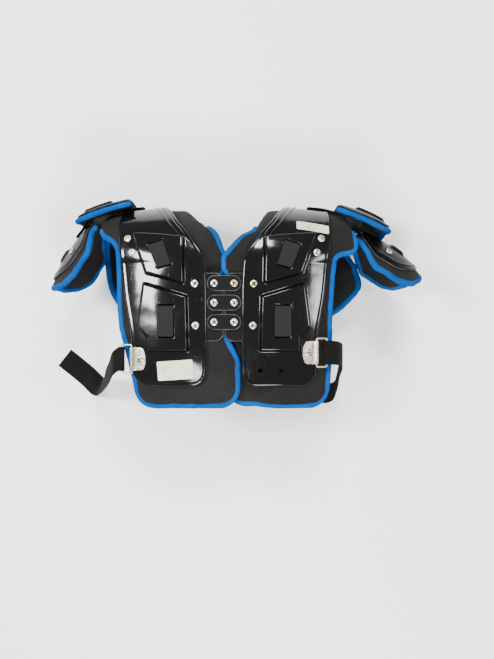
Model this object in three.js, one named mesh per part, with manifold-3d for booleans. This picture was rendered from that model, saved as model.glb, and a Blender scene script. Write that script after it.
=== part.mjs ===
// Football shoulder pads lying on their front: two moulded shells over bound pads, laced at the spine by
// riveted links, with flaps over the shoulder and the upper arm and an elastic strap on each side.
// Millimetres. +X is the wearer's right, +Y points to the neck, +Z is out of the back.
import * as THREE from 'three';
import { mergeVertices } from 'three/addons/utils/BufferGeometryUtils.js';
import Module from 'manifold-3d';

const wasm = await Module();
wasm.setup();

// Body form
const backLength = 193;
const frontLength = 172;
const archReach = 101;
const shoulderSpread = 0.7;
const bodyDepth = 202;
const plateBreadth = 170;
const wrapStart = 45;
const wrapDrop = 26.5;
const hemDipStart = 125;
const hemDip = 4;

// Walls and clearances
const clearance = 0.3;
const plateWall = 3.2;
const padThickness = 11;
const padSeat = 0.7;
const bindingGap = 0.9;
const bindingWidth = 9;
const bossHeight = 7;
const bossFlank = 4;
const ribHeight = 1.8;
const ribWidth = 4.5;
const ribPitch = 9;
const ribInset = 7;

// Webbing that holds the pads to the shells
const webWall = 1.6;
const webMargin = 0.5;
const webSeat = 0.8;
const slotWidth = 3.4;

// Spine hinge
const earWall = 2.4;
const earInner = 1.5;
const earOuter = 55;
const earTop = -16;
const earLength = 108;
const earRound = 13;
const linkLength = 54;
const linkHeight = 26;
const linkWall = 3;
const linkPitch = 30.2;
const linkFirst = -33;
const linkRivetSpacing = 31;

// Rivets
const rivetHead = 11.6;
const rivetDome = 2.2;
const rivetShank = 5;
const flapRivetGrip = 0.1;
const shankBore = rivetShank + 2 * clearance;

// Two bare holes low in the right plate, as shares of the plate breadth and the back length
const ventHole = 7;
const ventAcross = [0.331, 0.522];
const ventRun = -0.874;

// Strap hardware
const strapWidth = 38;
const strapWall = 1.8;
const ringWire = 3.2;
const ringLength = 48;
const ringReach = 17;
const clipAcross = 0.765;
const clipRun = { left: -0.782, right: -0.731 };
const clipInner = 8.5;
const clipOuter = 14;
const clipHeight = 36;
const clipWall = 1.2;
const clipRound = 9;
const ringRound = 3;

// Stickers, bare of print. across is a share of the plate breadth, run a share of the back length.
const labelWall = 0.4;
const labels = {
  left: { across: 0.447, run: -0.871, width: 56, height: 30, turn: 4 },
  right: { across: 0.824, run: 0.349, width: 52, height: 18, turn: -2 },
};

// Flaps over the shoulder and the upper arm
const flapWall = 2.6;
const flapPad = 8;
const flapSeat = 1.2;
const hingeStrapWidth = 38;
const hingeStrapAcross = [0.7353, 0.8529, 0.9588];

// Edges of the pads past the plates
const plateRound = 24;
const padRound = 34;
const padOverhang = 38;
const frontOverhang = 26;

// The pads sink where the ears lie under the plates, and the right pad goes under the left one.
const reliefStart = 77;
const reliefEnd = 110;
const tuckStart = 40;
const tuckEnd = 88;
const tuckRunStart = 52;
const tuckRunEnd = 87;

// Front closure
const closureAlong = 0.72;
const closureLength = 50;
const closureRound = 2;

const archRun = Math.PI * (archReach + bodyDepth / 2) / 2;
const wrapRate = wrapDrop / (plateBreadth - wrapStart) ** 2;

const finishes = {
  plastic: new THREE.MeshStandardMaterial({ color: 0x0c0d10, roughness: 0.2, metalness: 0 }),
  hinge: new THREE.MeshStandardMaterial({ color: 0x17181a, roughness: 0.55, metalness: 0 }),
  nylon: new THREE.MeshStandardMaterial({ color: 0x222224, roughness: 0.9, metalness: 0 }),
  binding: new THREE.MeshStandardMaterial({ color: 0x0090e4, roughness: 0.75, metalness: 0 }),
  webbing: new THREE.MeshStandardMaterial({ color: 0x303032, roughness: 0.9, metalness: 0 }),
  elastic: new THREE.MeshStandardMaterial({ color: 0x161414, roughness: 0.9, metalness: 0 }),
  nickel: new THREE.MeshStandardMaterial({ color: 0xc8bfa8, roughness: 0.3, metalness: 1 }),
  sticker: new THREE.MeshStandardMaterial({ color: 0xe4dcc0, roughness: 0.6, metalness: 0 }),
};

const lerp = THREE.MathUtils.lerp;

// Edge tables. s is -1 at the back hem, 0 and 1 at the ends of the shoulder arch and 2 at the front hem.
// inner and outer are distances from the centre line, as shares of the plate breadth.
const plateRows = [
  { s: -1.3, inner: 0.162, outer: 0.83 },
  { s: -0.6, inner: 0.162, outer: 0.868 },
  { s: -0.25, inner: 0.164, outer: 0.93 },
  { s: 0, inner: 0.18, outer: 0.96 },
  { s: 0.15, inner: 0.335, outer: 0.988 },
  { s: 0.25, inner: 0.45, outer: 1 },
  { s: 0.5, inner: 0.58, outer: 0.99 },
  { s: 0.75, inner: 0.47, outer: 0.99 },
  { s: 1, inner: 0.26, outer: 0.94 },
  { s: 1.3, inner: 0.153, outer: 0.88 },
  { s: 2.1, inner: 0.141, outer: 0.82 },
];
const backPadRows = {
  left: [
    { s: -1.2, inner: -0.135, outer: 0.82 },
    { s: -1, inner: -0.148, outer: 0.865 },
    { s: -0.83, inner: -0.147, outer: 0.91 },
    { s: -0.65, inner: -0.065, outer: 0.965 },
    { s: -0.5, inner: 0, outer: 1.01 },
    { s: -0.1, inner: 0.006, outer: 1.03 },
    { s: 0.05, inner: 0.007, outer: 1.035 },
    { s: 0.11, inner: 0.018, outer: 1.05 },
    { s: 0.17, inner: 0.078, outer: 1.11 },
    { s: 0.22, inner: 0.19, outer: 1.18 },
    { s: 0.28, inner: 0.25, outer: 1.19 },
    { s: 0.5, inner: 0.4, outer: 1.17 },
  ],
  right: [
    { s: -1.2, inner: 0.01, outer: 0.985 },
    { s: -0.83, inner: 0.01, outer: 1.018 },
    { s: -0.4, inner: 0.01, outer: 1.03 },
    { s: -0.1, inner: 0.01, outer: 1.055 },
    { s: 0.03, inner: 0.012, outer: 1.075 },
    { s: 0.07, inner: 0.032, outer: 1.13 },
    { s: 0.1, inner: 0.07, outer: 1.25 },
    { s: 0.14, inner: 0.128, outer: 1.28 },
    { s: 0.19, inner: 0.25, outer: 1.27 },
    { s: 0.5, inner: 0.42, outer: 1.17 },
  ],
};
const frontPadRows = {
  left: [
    { s: 0.5, inner: 0.4, outer: 1.17 },
    { s: 0.8, inner: 0.25, outer: 1.19 },
    { s: 1, inner: 0.1, outer: 1.25 },
    { s: 1.15, inner: 0.05, outer: 1.26 },
    { s: 1.35, inner: 0.02, outer: 1.17 },
    { s: 1.55, inner: 0.02, outer: 1.01 },
    { s: 2.2, inner: 0.02, outer: 0.93 },
  ],
  right: [
    { s: 0.5, inner: 0.4, outer: 1.2 },
    { s: 0.8, inner: 0.25, outer: 1.24 },
    { s: 1, inner: 0.1, outer: 1.35 },
    { s: 1.15, inner: 0.05, outer: 1.41 },
    { s: 1.35, inner: 0.02, outer: 1.27 },
    { s: 1.55, inner: 0.02, outer: 1.04 },
    { s: 2.2, inner: 0.02, outer: 0.93 },
  ],
};

// Raised panels and webbing windows: each row joins an inner and an outer corner. across is a share of the
// plate breadth, run a share of the back length, positive up the shoulder.
const panels = {
  upper: [
    { innerAcross: 0.383, innerRun: 0.197, outerAcross: 0.834, outerRun: 0.268 },
    { innerAcross: 0.376, innerRun: -0.158, outerAcross: 0.703, outerRun: -0.078 },
  ],
  lower: [
    { innerAcross: 0.351, innerRun: -0.282, outerAcross: 0.726, outerRun: -0.18 },
    { innerAcross: 0.345, innerRun: -0.5, outerAcross: 0.775, outerRun: -0.518 },
    { innerAcross: 0.342, innerRun: -0.62, outerAcross: 0.68, outerRun: -0.601 },
    { innerAcross: 0.339, innerRun: -0.705, outerAcross: 0.68, outerRun: -0.707 },
  ],
};
const windows = {
  upper: [
    { innerAcross: 0.547, innerRun: 0.163, outerAcross: 0.684, outerRun: 0.132 },
    { innerAcross: 0.478, innerRun: -0.008, outerAcross: 0.606, outerRun: -0.037 },
  ],
  lower: [
    { innerAcross: 0.4535, innerRun: -0.363, outerAcross: 0.6, outerRun: -0.363 },
    { innerAcross: 0.4535, innerRun: -0.591, outerAcross: 0.6, outerRun: -0.591 },
  ],
};
const plateRivets = [
  { name: 'shoulder_outer', across: 0.9, run: 0.24 },
  { name: 'shoulder_inner', across: 0.855, run: 0.1 },
  { name: 'ear_upper', across: 0.27, run: -0.174 },
  { name: 'ear_lower', across: 0.262, run: -0.511 },
];

// Flaps: across is where the middle of the hinged end lies as a share of the plate breadth, rise how far it
// lies above the shoulder arch, tilt the fall of the flap below level in degrees, crown and bend how far its
// sides and its hem drop.
const flaps = {
  epaulet: {
    length: 98,
    halfWidth: 64,
    round: 34,
    shellMargin: 6,
    columns: 5,
    capStart: 0.3,
    capEnd: 0.8,
    capHalf: 0.5,
    capHeight: 5,
    rows: [
      { s: 0, width: 0.86 },
      { s: 0.4, width: 1 },
      { s: 1, width: 0.94 },
    ],
    left: { across: 0.9294, rise: 11.5, tilt: 11, crown: 10, bend: 14 },
    right: { across: 1.1059, rise: 4, tilt: 13, crown: 14, bend: 20 },
  },
  arm_flap: {
    length: 122,
    halfWidth: 75,
    round: 56,
    shellMargin: 14,
    columns: 7,
    capStart: 0.42,
    capEnd: 0.62,
    capHalf: 0.32,
    capHeight: 4,
    rows: [
      { s: 0, width: 0.62 },
      { s: 0.3, width: 1 },
      { s: 0.6, width: 1 },
      { s: 1, width: 0.85 },
    ],
    left: { across: 1.3647, rise: -31, tilt: 50, crown: 42, bend: 17 },
    right: { across: 1.3529, rise: -41, tilt: 20, crown: 56, bend: 34 },
  },
};
const flapRivetAcross = 42;
const flapRivetDown = 48;

// Loft and cut helpers

function faceOutward(geometry) {
  const index = Array.from(geometry.index.array);
  const position = geometry.attributes.position;
  const corner = (k) => new THREE.Vector3().fromBufferAttribute(position, index[k]);
  let volume = 0;
  for (let k = 0; k < index.length; k += 3) {
    volume += corner(k).dot(corner(k + 1).cross(corner(k + 2)));
  }
  if (volume < 0) geometry.setIndex(index.reverse());
  return geometry;
}

// The geometry as shared corners and triangles only, without the ones that shrink to a line at a pole.
function bare(geometry) {
  const copy = geometry.clone();
  copy.deleteAttribute('normal');
  copy.deleteAttribute('uv');
  const merged = mergeVertices(copy, 1e-4);
  const index = Array.from(merged.index.array);
  const whole = (k) => new Set(index.slice(k, k + 3)).size === 3;
  merged.setIndex(index.filter((_, k) => whole(k - k % 3)));
  return faceOutward(merged);
}

// A closed body between two grids of points, grid[row][column], of the same size.
function between(low, high) {
  const rows = low.length - 1;
  const columns = low[0].length - 1;
  const box = new THREE.BoxGeometry(1, 1, 1, columns, rows, 1);
  const position = box.attributes.position;
  for (let k = 0; k < position.count; k += 1) {
    const column = Math.round((position.getX(k) + 0.5) * columns);
    const row = Math.round((position.getY(k) + 0.5) * rows);
    const point = (position.getZ(k) > 0 ? high : low)[row][column];
    position.setXYZ(k, point.x, point.y, point.z);
  }
  return bare(box);
}

function offsetGrid(cells, surface, offset) {
  return cells.map((row) => row.map((cell) => {
    const height = typeof offset === 'function' ? offset(cell.x, cell.along) : offset;
    return surface(cell.x, cell.along).addScaledVector(normalOf(surface, cell.x, cell.along), height);
  }));
}

function sheet(cells, surface, low, high) {
  return between(offsetGrid(cells, surface, low), offsetGrid(cells, surface, high));
}

function toSolid(geometry) {
  const source = bare(geometry);
  return new wasm.Manifold(new wasm.Mesh({
    numProp: 3,
    vertProperties: new Float32Array(source.attributes.position.array),
    triVerts: new Uint32Array(source.index.array),
  }));
}

function toGeometry(solid) {
  const mesh = solid.getMesh();
  const geometry = new THREE.BufferGeometry();
  geometry.setAttribute('position', new THREE.BufferAttribute(mesh.vertProperties, 3));
  geometry.setIndex(new THREE.BufferAttribute(mesh.triVerts, 1));
  return geometry;
}

function combine(base, added, removed) {
  let solid = toSolid(base);
  for (const geometry of added) solid = solid.add(toSolid(geometry));
  for (const geometry of removed) solid = solid.subtract(toSolid(geometry));
  return toGeometry(solid);
}

// Surfaces

function normalOf(surface, x, along) {
  const step = 0.25;
  const across = surface(x + step, along).sub(surface(x - step, along));
  const onward = surface(x, along + step).sub(surface(x, along - step));
  return across.cross(onward).normalize();
}

function bodyRun(s) {
  if (s <= 0) return s * backLength;
  if (s <= 1) return s * archRun;
  return archRun + (s - 1) * frontLength;
}

// The body surface wraps forward away from the centre line and turns over the shoulder on a half ellipse,
// where it wraps less.
function bodySurface(x, along) {
  const drop = wrapRate * Math.max(0, Math.abs(x) - wrapStart) ** 2;
  const middle = plateWall / 2 + bodyDepth / 2;
  if (along <= 0) {
    const dipShare = Math.max(0, -along - hemDipStart) / (backLength - hemDipStart);
    return new THREE.Vector3(x, along, middle + bodyDepth / 2 - hemDip * dipShare ** 2 - drop);
  }
  if (along >= archRun) return new THREE.Vector3(x, archRun - along, middle - bodyDepth / 2 + drop);
  const angle = Math.PI * along / archRun;
  const outY = Math.sin(angle) * bodyDepth / 2;
  const outZ = Math.cos(angle) * archReach;
  const held = drop * (1 - shoulderSpread * Math.sin(angle)) / Math.hypot(outY, outZ);
  return new THREE.Vector3(
    x,
    archReach * Math.sin(angle) - held * outY,
    middle + bodyDepth / 2 * Math.cos(angle) - held * outZ,
  );
}

// A flap is domed from side to side and bends down to its hem. along is 0 at the hinge, negative to the hem.
function flapSurface(flap, side) {
  const pose = side > 0 ? flap.right : flap.left;
  const tilt = THREE.MathUtils.degToRad(pose.tilt);
  const fall = new THREE.Vector3(side * Math.cos(tilt), -Math.sin(tilt), 0);
  const out = new THREE.Vector3(side * Math.sin(tilt), Math.cos(tilt), 0);
  const across = side * pose.across * plateBreadth;
  const hinge = new THREE.Vector3(across, archReach + pose.rise, plateWall / 2 + bodyDepth / 2);
  return (x, along) => {
    const sink = pose.crown * (x / flap.halfWidth) ** 2 + pose.bend * (along / flap.length) ** 2;
    const point = hinge.clone().addScaledVector(fall, -along).addScaledVector(out, -sink);
    point.z -= side * x;
    return point;
  };
}

// Outlines

// Smooth value of one column of a table at a place along it.
function follow(rows, column, along) {
  const last = rows.length - 2;
  let k = rows.findIndex((row, i) => i <= last && along <= rows[i + 1].along);
  if (k < 0) k = last;
  const secant = (i) => {
    const a = rows[THREE.MathUtils.clamp(i, 0, last)];
    const b = rows[THREE.MathUtils.clamp(i, 0, last) + 1];
    return (b[column] - a[column]) / (b.along - a.along);
  };
  // The slope at a row is flat where the column turns, so that the curve never runs past its rows.
  const slope = (i) => {
    const [before, after] = [secant(i - 1), secant(i)];
    return before * after <= 0 ? 0 : 2 * before * after / (before + after);
  };
  const from = rows[k];
  const to = rows[k + 1];
  const span = to.along - from.along;
  const t = THREE.MathUtils.clamp((along - from.along) / span, 0, 1);
  const bend = t * (1 - t) * span;
  return from[column] * (1 - t) ** 2 * (1 + 2 * t) + to[column] * t ** 2 * (3 - 2 * t)
    + bend * ((1 - t) * slope(k) - t * slope(k + 1));
}

function bodyTable(rows) {
  return rows.map((row) => ({
    along: bodyRun(row.s),
    inner: row.inner * plateBreadth,
    outer: row.outer * plateBreadth,
  }));
}

// Rows of an outline from its top to its round-cornered hem, drawn in from the edge by inset.
function outline({ table, stations, hem, round }, inset) {
  const toward = Math.sign(hem - stations[0]);
  const foot = hem - toward * round;
  const rows = stations.map((along) => ({
    along,
    inner: follow(table, 'inner', along) + inset,
    outer: follow(table, 'outer', along) - inset,
  }));
  const inner = follow(table, 'inner', foot);
  const outer = follow(table, 'outer', foot);
  const cornerSteps = 4;
  for (let k = 0; k <= cornerSteps; k += 1) {
    const angle = k / cornerSteps * Math.PI / 2;
    rows.push({
      along: foot + toward * (round - inset) * Math.sin(angle),
      inner: inner + round - (round - inset) * Math.cos(angle),
      outer: outer - round + (round - inset) * Math.cos(angle),
    });
  }
  return rows;
}

function steps(from, to, count) {
  return Array.from({ length: count }, (_, k) => lerp(from, to, k / count));
}

function cellsOf(rows, columns, side) {
  return rows.map((row) => Array.from({ length: columns + 1 }, (_, k) => ({
    x: side * lerp(row.inner, row.outer, k / columns),
    along: row.along,
  })));
}

// The binding runs down one edge of an outline, round the hem and up the other edge.
function bindingCells(panel, side, firstInner, firstOuter) {
  const outside = outline(panel, 0);
  const inside = outline(panel, bindingWidth);
  const place = (row, edge) => ({ x: side * row[edge], along: row.along });
  const pair = (k, edge) => [place(outside[k], edge), place(inside[k], edge)];
  const count = outside.length;
  const down = Array.from({ length: count - firstInner }, (_, k) => pair(firstInner + k, 'inner'));
  const up = Array.from({ length: count - firstOuter }, (_, k) => pair(count - 1 - k, 'outer'));
  return [...down, ...up];
}

// Cells of a four-sided patch through rows of corners. The shares run past 0 and 1 outside the corners.
function patchCells(rows, side, { columns, lines, acrossFrom, acrossTo, downFrom, downTo }) {
  return Array.from({ length: lines + 1 }, (_, i) => {
    const place = lerp(downFrom, downTo, i / lines) * (rows.length - 1);
    const k = THREE.MathUtils.clamp(Math.floor(place), 0, rows.length - 2);
    const mix = (column) => lerp(rows[k][column], rows[k + 1][column], place - k);
    return Array.from({ length: columns + 1 }, (__, j) => {
      const share = lerp(acrossFrom, acrossTo, j / columns);
      return {
        x: side * plateBreadth * lerp(mix('innerAcross'), mix('outerAcross'), share),
        along: backLength * lerp(mix('innerRun'), mix('outerRun'), share),
      };
    });
  });
}

function patchSize(rows) {
  const last = rows[rows.length - 1];
  return {
    across: plateBreadth * (rows[0].outerAcross - rows[0].innerAcross),
    down: backLength * (rows[0].innerRun - last.innerRun),
  };
}

// Pieces

const model = new THREE.Group();

function addPiece(name, geometry, finish, parent = model) {
  const mesh = new THREE.Mesh(geometry, finishes[finish]);
  geometry.computeVertexNormals();
  mesh.name = name;
  parent.add(mesh);
  return mesh;
}

// The place on the body surface at which z stands out of it and y points up the body.
function standOn(x, along, height) {
  const up = normalOf(bodySurface, x, along);
  const across = bodySurface(x + 1, along).sub(bodySurface(x - 1, along)).normalize();
  const stand = new THREE.Matrix4().makeBasis(across, up.clone().cross(across), up);
  return stand.setPosition(bodySurface(x, along).addScaledVector(up, height));
}

function seatOn(x, along, height) {
  const seat = new THREE.Group();
  seat.applyMatrix4(standOn(x, along, height));
  model.add(seat);
  return seat;
}

function rivetGeometry(grip) {
  const head = rivetHead / 2;
  const profile = [
    new THREE.Vector2(0, -grip),
    new THREE.Vector2(rivetShank / 2, -grip),
    new THREE.Vector2(rivetShank / 2, 0),
    new THREE.Vector2(head, 0),
    new THREE.Vector2(head * 0.72, rivetDome * 0.8),
    new THREE.Vector2(0, rivetDome),
  ];
  return bare(new THREE.LatheGeometry(profile, 8).rotateX(Math.PI / 2));
}

function drill(x, along, diameter) {
  const reach = 30;
  const bore = new THREE.CylinderGeometry(diameter / 2, diameter / 2, reach, 8).rotateX(Math.PI / 2);
  return bore.applyMatrix4(standOn(x, along, 0));
}

const sides = [
  { name: 'left', side: -1 },
  { name: 'right', side: 1 },
];
const archHalf = steps(archRun / 2, 0, 6);

function earRelief(x) {
  return (earWall + clearance) * (1 - THREE.MathUtils.smoothstep(Math.abs(x), reliefStart, reliefEnd));
}

function underlap(x, along) {
  const inward = 1 - THREE.MathUtils.smoothstep(x, tuckStart, tuckEnd);
  const lowered = THREE.MathUtils.smoothstep(-along, tuckRunStart, tuckRunEnd);
  return (padThickness + 2 * clearance) * inward * lowered;
}

const plateTable = bodyTable(plateRows);
const platePanels = {
  back: {
    table: plateTable,
    stations: [...archHalf, ...steps(0, plateRound - backLength, 6)],
    hem: -backLength,
    round: plateRound,
  },
  front: {
    table: plateTable,
    stations: [...steps(archRun / 2, archRun, 7), ...steps(archRun, archRun + frontLength - plateRound, 4)],
    hem: archRun + frontLength,
    round: plateRound,
  },
};

function slotShares(rows) {
  const size = patchSize(rows);
  return { slot: slotWidth / size.down, margin: webMargin / size.across };
}

// Each window is a pair of slots in a raised panel; the webbing goes down one and comes up the other.
function slotCuts(rows, side) {
  const { slot, margin } = slotShares(rows);
  const width = { columns: 1, lines: 1, acrossFrom: -margin, acrossTo: 1 + margin };
  const above = patchCells(rows, side, { ...width, downFrom: -slot, downTo: 0 });
  const below = patchCells(rows, side, { ...width, downFrom: 1, downTo: 1 + slot });
  const cutLow = -2 * plateWall;
  const cutHigh = plateWall + 2 * bossHeight;
  return [above, below].map((cells) => sheet(cells, bodySurface, cutLow, cutHigh));
}

function windowWebbing(rows, side) {
  const { slot } = slotShares(rows);
  const legInner = slot / 4;
  const legOuter = slot * 3 / 4;
  const low = plateWall / 2 + bossHeight + webSeat;
  const width = { columns: 1, acrossFrom: 0, acrossTo: 1 };
  const strip = patchCells(rows, side, { ...width, lines: 3, downFrom: -legOuter, downTo: 1 + legOuter });
  const upper = patchCells(rows, side, { ...width, lines: 1, downFrom: -legOuter, downTo: -legInner });
  const lower = patchCells(rows, side, { ...width, lines: 1, downFrom: 1 + legInner, downTo: 1 + legOuter });
  const legs = [upper, lower].map((cells) => sheet(cells, bodySurface, -plateWall / 2, low + webWall / 2));
  return combine(sheet(strip, bodySurface, low, low + webWall), legs, []);
}

function raisedPanel(rows, side) {
  const size = patchSize(rows);
  const flankAcross = bossFlank / size.across;
  const flankDown = bossFlank / size.down;
  const lines = 4;
  const top = { columns: 2, lines, acrossFrom: 0, acrossTo: 1, downFrom: 0, downTo: 1 };
  const foot = {
    columns: 2,
    lines,
    acrossFrom: -flankAcross,
    acrossTo: 1 + flankAcross,
    downFrom: -flankDown,
    downTo: 1 + flankDown,
  };
  return between(
    offsetGrid(patchCells(rows, side, foot), bodySurface, 0),
    offsetGrid(patchCells(rows, side, top), bodySurface, plateWall / 2 + bossHeight),
  );
}

function shoulderRib(side, place) {
  const rows = steps(archRun / 2, archRun * 0.12, 5).map((along) => {
    const edge = follow(plateTable, 'inner', along) + ribInset + place * ribPitch;
    return { along, inner: edge, outer: edge + ribWidth };
  });
  return sheet(cellsOf(rows, 1, side), bodySurface, 0, plateWall / 2 + ribHeight);
}

function addPlate(name, side) {
  const back = outline(platePanels.back, 0);
  const front = outline(platePanels.front, 0);
  const rows = [...front.reverse(), ...back.slice(1)];
  const body = sheet(cellsOf(rows, 5, side), bodySurface, -plateWall / 2, plateWall / 2);
  const bosses = Object.values(panels).map((panel) => raisedPanel(panel, side));
  const ribs = [0, 1].map((place) => shoulderRib(side, place));
  const slots = Object.values(windows).flatMap((rowsOf) => slotCuts(rowsOf, side));
  const rivetHoles = plateRivets.map((r) => {
    return drill(side * r.across * plateBreadth, r.run * backLength, shankBore);
  });
  const ventHoles = side > 0
    ? ventAcross.map((across) => drill(across * plateBreadth, ventRun * backLength, ventHole))
    : [];
  const clipHole = drill(side * clipAcross * plateBreadth, clipRun[name] * backLength, shankBore);
  const holes = [...slots, ...rivetHoles, ...ventHoles, clipHole];
  addPiece(`body_plate_${name}`, combine(body, [...bosses, ...ribs], holes), 'plastic');
}

const padTop = -plateWall / 2 - padSeat;

function addPad(prefix, name, side, panel, relief, bound) {
  const low = (x, along) => padTop - padThickness - relief(x, along);
  const high = (x, along) => padTop - relief(x, along);
  const rows = outline(panel, bindingWidth + bindingGap);
  addPiece(`${prefix}_pad_${name}`, sheet(cellsOf(rows, 5, side), bodySurface, low, high), 'nylon');
  const rim = bindingCells(panel, side, bound.inner, bound.outer);
  addPiece(`${prefix}_binding_${name}`, sheet(rim, bodySurface, low, high), 'binding');
}

function backPadPanel(name) {
  return {
    table: bodyTable(backPadRows[name]),
    stations: [...archHalf, ...steps(0, padRound - padOverhang - backLength, 6)],
    hem: -backLength - padOverhang,
    round: padRound,
  };
}

const frontFoot = archRun + frontLength + frontOverhang - padRound;

function frontPadPanel(name) {
  return {
    table: bodyTable(frontPadRows[name]),
    stations: [...steps(archRun / 2 + 1, archRun, 7), ...steps(archRun, frontFoot, 4)],
    hem: archRun + frontLength + frontOverhang,
    round: padRound,
  };
}

for (const { name, side } of sides) {
  addPlate(name, side);
  const relief = (x, along) => earRelief(x) + (side > 0 ? underlap(x, along) : 0);
  addPad('back', name, side, backPadPanel(name), relief, { inner: 4, outer: 3 });
  addPad('front', name, side, frontPadPanel(name), () => 0, { inner: 3, outer: 2 });
  for (const [place, rows] of Object.entries(windows)) {
    addPiece(`webbing_${place}_${name}`, windowWebbing(rows, side), 'webbing');
  }
  for (const rivet of plateRivets) {
    const throughEar = rivet.name.startsWith('ear');
    const grip = plateWall + clearance + (throughEar ? earWall + clearance : 0);
    const across = side * rivet.across * plateBreadth;
    const seat = seatOn(across, rivet.run * backLength, plateWall / 2 + clearance);
    addPiece(`rivet_${rivet.name}_${name}`, rivetGeometry(grip), 'nickel', seat);
  }
}

// Spine hinge: an ear under each plate, joined by three links with two rivets each.

function roundedPlate(left, bottom, width, height, round, holes) {
  const shape = new THREE.Shape();
  shape.absarc(left + width - round, bottom + round, round, -Math.PI / 2, 0);
  shape.absarc(left + width - round, bottom + height - round, round, 0, Math.PI / 2);
  shape.absarc(left + round, bottom + height - round, round, Math.PI / 2, Math.PI);
  shape.absarc(left + round, bottom + round, round, Math.PI, 1.5 * Math.PI);
  for (const [x, y] of holes) {
    const hole = new THREE.Path();
    hole.absarc(x, y, shankBore / 2, 0, 2 * Math.PI, true);
    shape.holes.push(hole);
  }
  return shape;
}

const backTop = plateWall / 2 + bodyDepth;
const earFloor = backTop - plateWall / 2 - clearance - earWall;
const linkFloor = earFloor + earWall + clearance;
const linkRows = [
  { name: 'upper', along: linkFirst },
  { name: 'middle', along: linkFirst - linkPitch },
  { name: 'lower', along: linkFirst - 2 * linkPitch },
];

for (const { name, side } of sides) {
  const linkHoles = linkRows.map((row) => [side * linkRivetSpacing / 2, row.along]);
  const plateHoles = plateRivets.filter((r) => r.name.startsWith('ear'))
    .map((r) => [side * r.across * plateBreadth, r.run * backLength]);
  const left = side > 0 ? earInner : -earOuter;
  const holes = [...linkHoles, ...plateHoles];
  const shape = roundedPlate(left, earTop - earLength, earOuter - earInner, earLength, earRound, holes);
  const ear = new THREE.ExtrudeGeometry(shape, { depth: earWall, bevelEnabled: false, curveSegments: 4 });
  addPiece(`hinge_ear_${name}`, bare(ear), 'hinge').position.z = earFloor;
}

for (const row of linkRows) {
  const holes = sides.map(({ side }) => [side * linkRivetSpacing / 2, 0]);
  const round = linkHeight / 2 - 1;
  const shape = roundedPlate(-linkLength / 2, -linkHeight / 2, linkLength, linkHeight, round, holes);
  const link = new THREE.ExtrudeGeometry(shape, { depth: linkWall, bevelEnabled: false, curveSegments: 4 });
  addPiece(`hinge_link_${row.name}`, bare(link), 'hinge').position.set(0, row.along, linkFloor);
  for (const { name, side } of sides) {
    const rivet = rivetGeometry(linkWall + earWall + 2 * clearance);
    const mesh = addPiece(`rivet_link_${row.name}_${name}`, rivet, 'nickel');
    mesh.position.set(side * linkRivetSpacing / 2, row.along, linkFloor + linkWall + clearance);
  }
}

// Flaps: a shell over a bound pad.

function flapTable(flap, margin) {
  return flap.rows.map((row) => ({
    along: -row.s * (flap.length - margin),
    inner: -row.width * (flap.halfWidth - margin),
    outer: row.width * (flap.halfWidth - margin),
  })).reverse();
}

function flapPanel(flap, margin, lines) {
  const hem = margin - flap.length;
  const foot = hem + flap.round;
  return { table: flapTable(flap, margin), stations: steps(0, foot, lines), hem, round: flap.round };
}

function addFlap(kind, flap, name, side) {
  const surface = flapSurface(flap, side);
  const shellRows = outline(flapPanel(flap, flap.shellMargin, 4), 0);
  const shell = sheet(cellsOf(shellRows, flap.columns, 1), surface, -flapWall / 2, flapWall / 2);
  const capRow = (share) => ({
    along: -share * flap.length,
    inner: -flap.capHalf * flap.halfWidth,
    outer: flap.capHalf * flap.halfWidth,
  });
  const capTop = steps(flap.capStart, flap.capEnd, 2).concat(flap.capEnd).map(capRow);
  const cap = sheet(cellsOf(capTop, 3, 1), surface, 0, flapWall / 2 + flap.capHeight);
  addPiece(`${kind}_shell_${name}`, combine(shell, [cap], []), 'plastic');
  if (kind === 'arm_flap') {
    const place = { x: -side * flapRivetAcross, along: -flapRivetDown };
    const up = normalOf(surface, place.x, place.along);
    const rivet = addPiece(`rivet_${kind}_${name}`, rivetGeometry(flapRivetGrip), 'nickel');
    rivet.position.copy(surface(place.x, place.along)).addScaledVector(up, flapWall / 2 + clearance);
    rivet.quaternion.setFromUnitVectors(new THREE.Vector3(0, 0, 1), up);
  }
  const high = -flapWall / 2 - flapSeat;
  const panel = flapPanel(flap, 0, 4);
  const padRows = outline(panel, bindingWidth + bindingGap);
  const padCells = cellsOf(padRows, flap.columns, 1);
  addPiece(`${kind}_pad_${name}`, sheet(padCells, surface, high - flapPad, high), 'nylon');
  const rim = bindingCells(panel, 1, 0, 0);
  addPiece(`${kind}_binding_${name}`, sheet(rim, surface, high - flapPad, high), 'binding');
}

for (const { name, side } of sides) {
  for (const [kind, flap] of Object.entries(flaps)) addFlap(kind, flap, name, side);
}

// Straps. A route is a list of places with the direction across the strap at each.

function strapGeometry(route, width, wall) {
  const rows = route.map(({ place, across }, k) => {
    const before = route[Math.max(0, k - 1)].place;
    const after = route[Math.min(route.length - 1, k + 1)].place;
    const side = across.clone().normalize();
    const out = side.clone().cross(after.clone().sub(before)).normalize();
    return { place, side, out };
  });
  const layer = (lift) => rows.map(({ place, side, out }) => [-width / 2, width / 2].map((reach) => {
    return place.clone().addScaledVector(side, reach).addScaledVector(out, lift);
  }));
  return between(layer(-wall / 2), layer(wall / 2));
}

// The same route with more places on it, along a smooth curve.
function smoothRoute(route, count) {
  const line = new THREE.CatmullRomCurve3(route.map((row) => row.place), false, 'centripetal');
  const turn = new THREE.CatmullRomCurve3(route.map((row) => row.across), false, 'centripetal');
  return Array.from({ length: count + 1 }, (_, k) => ({
    place: line.getPoint(k / count),
    across: turn.getPoint(k / count),
  }));
}

const barRise = clearance + clipWall + ringWire / 2 + 2 * clearance;

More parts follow.
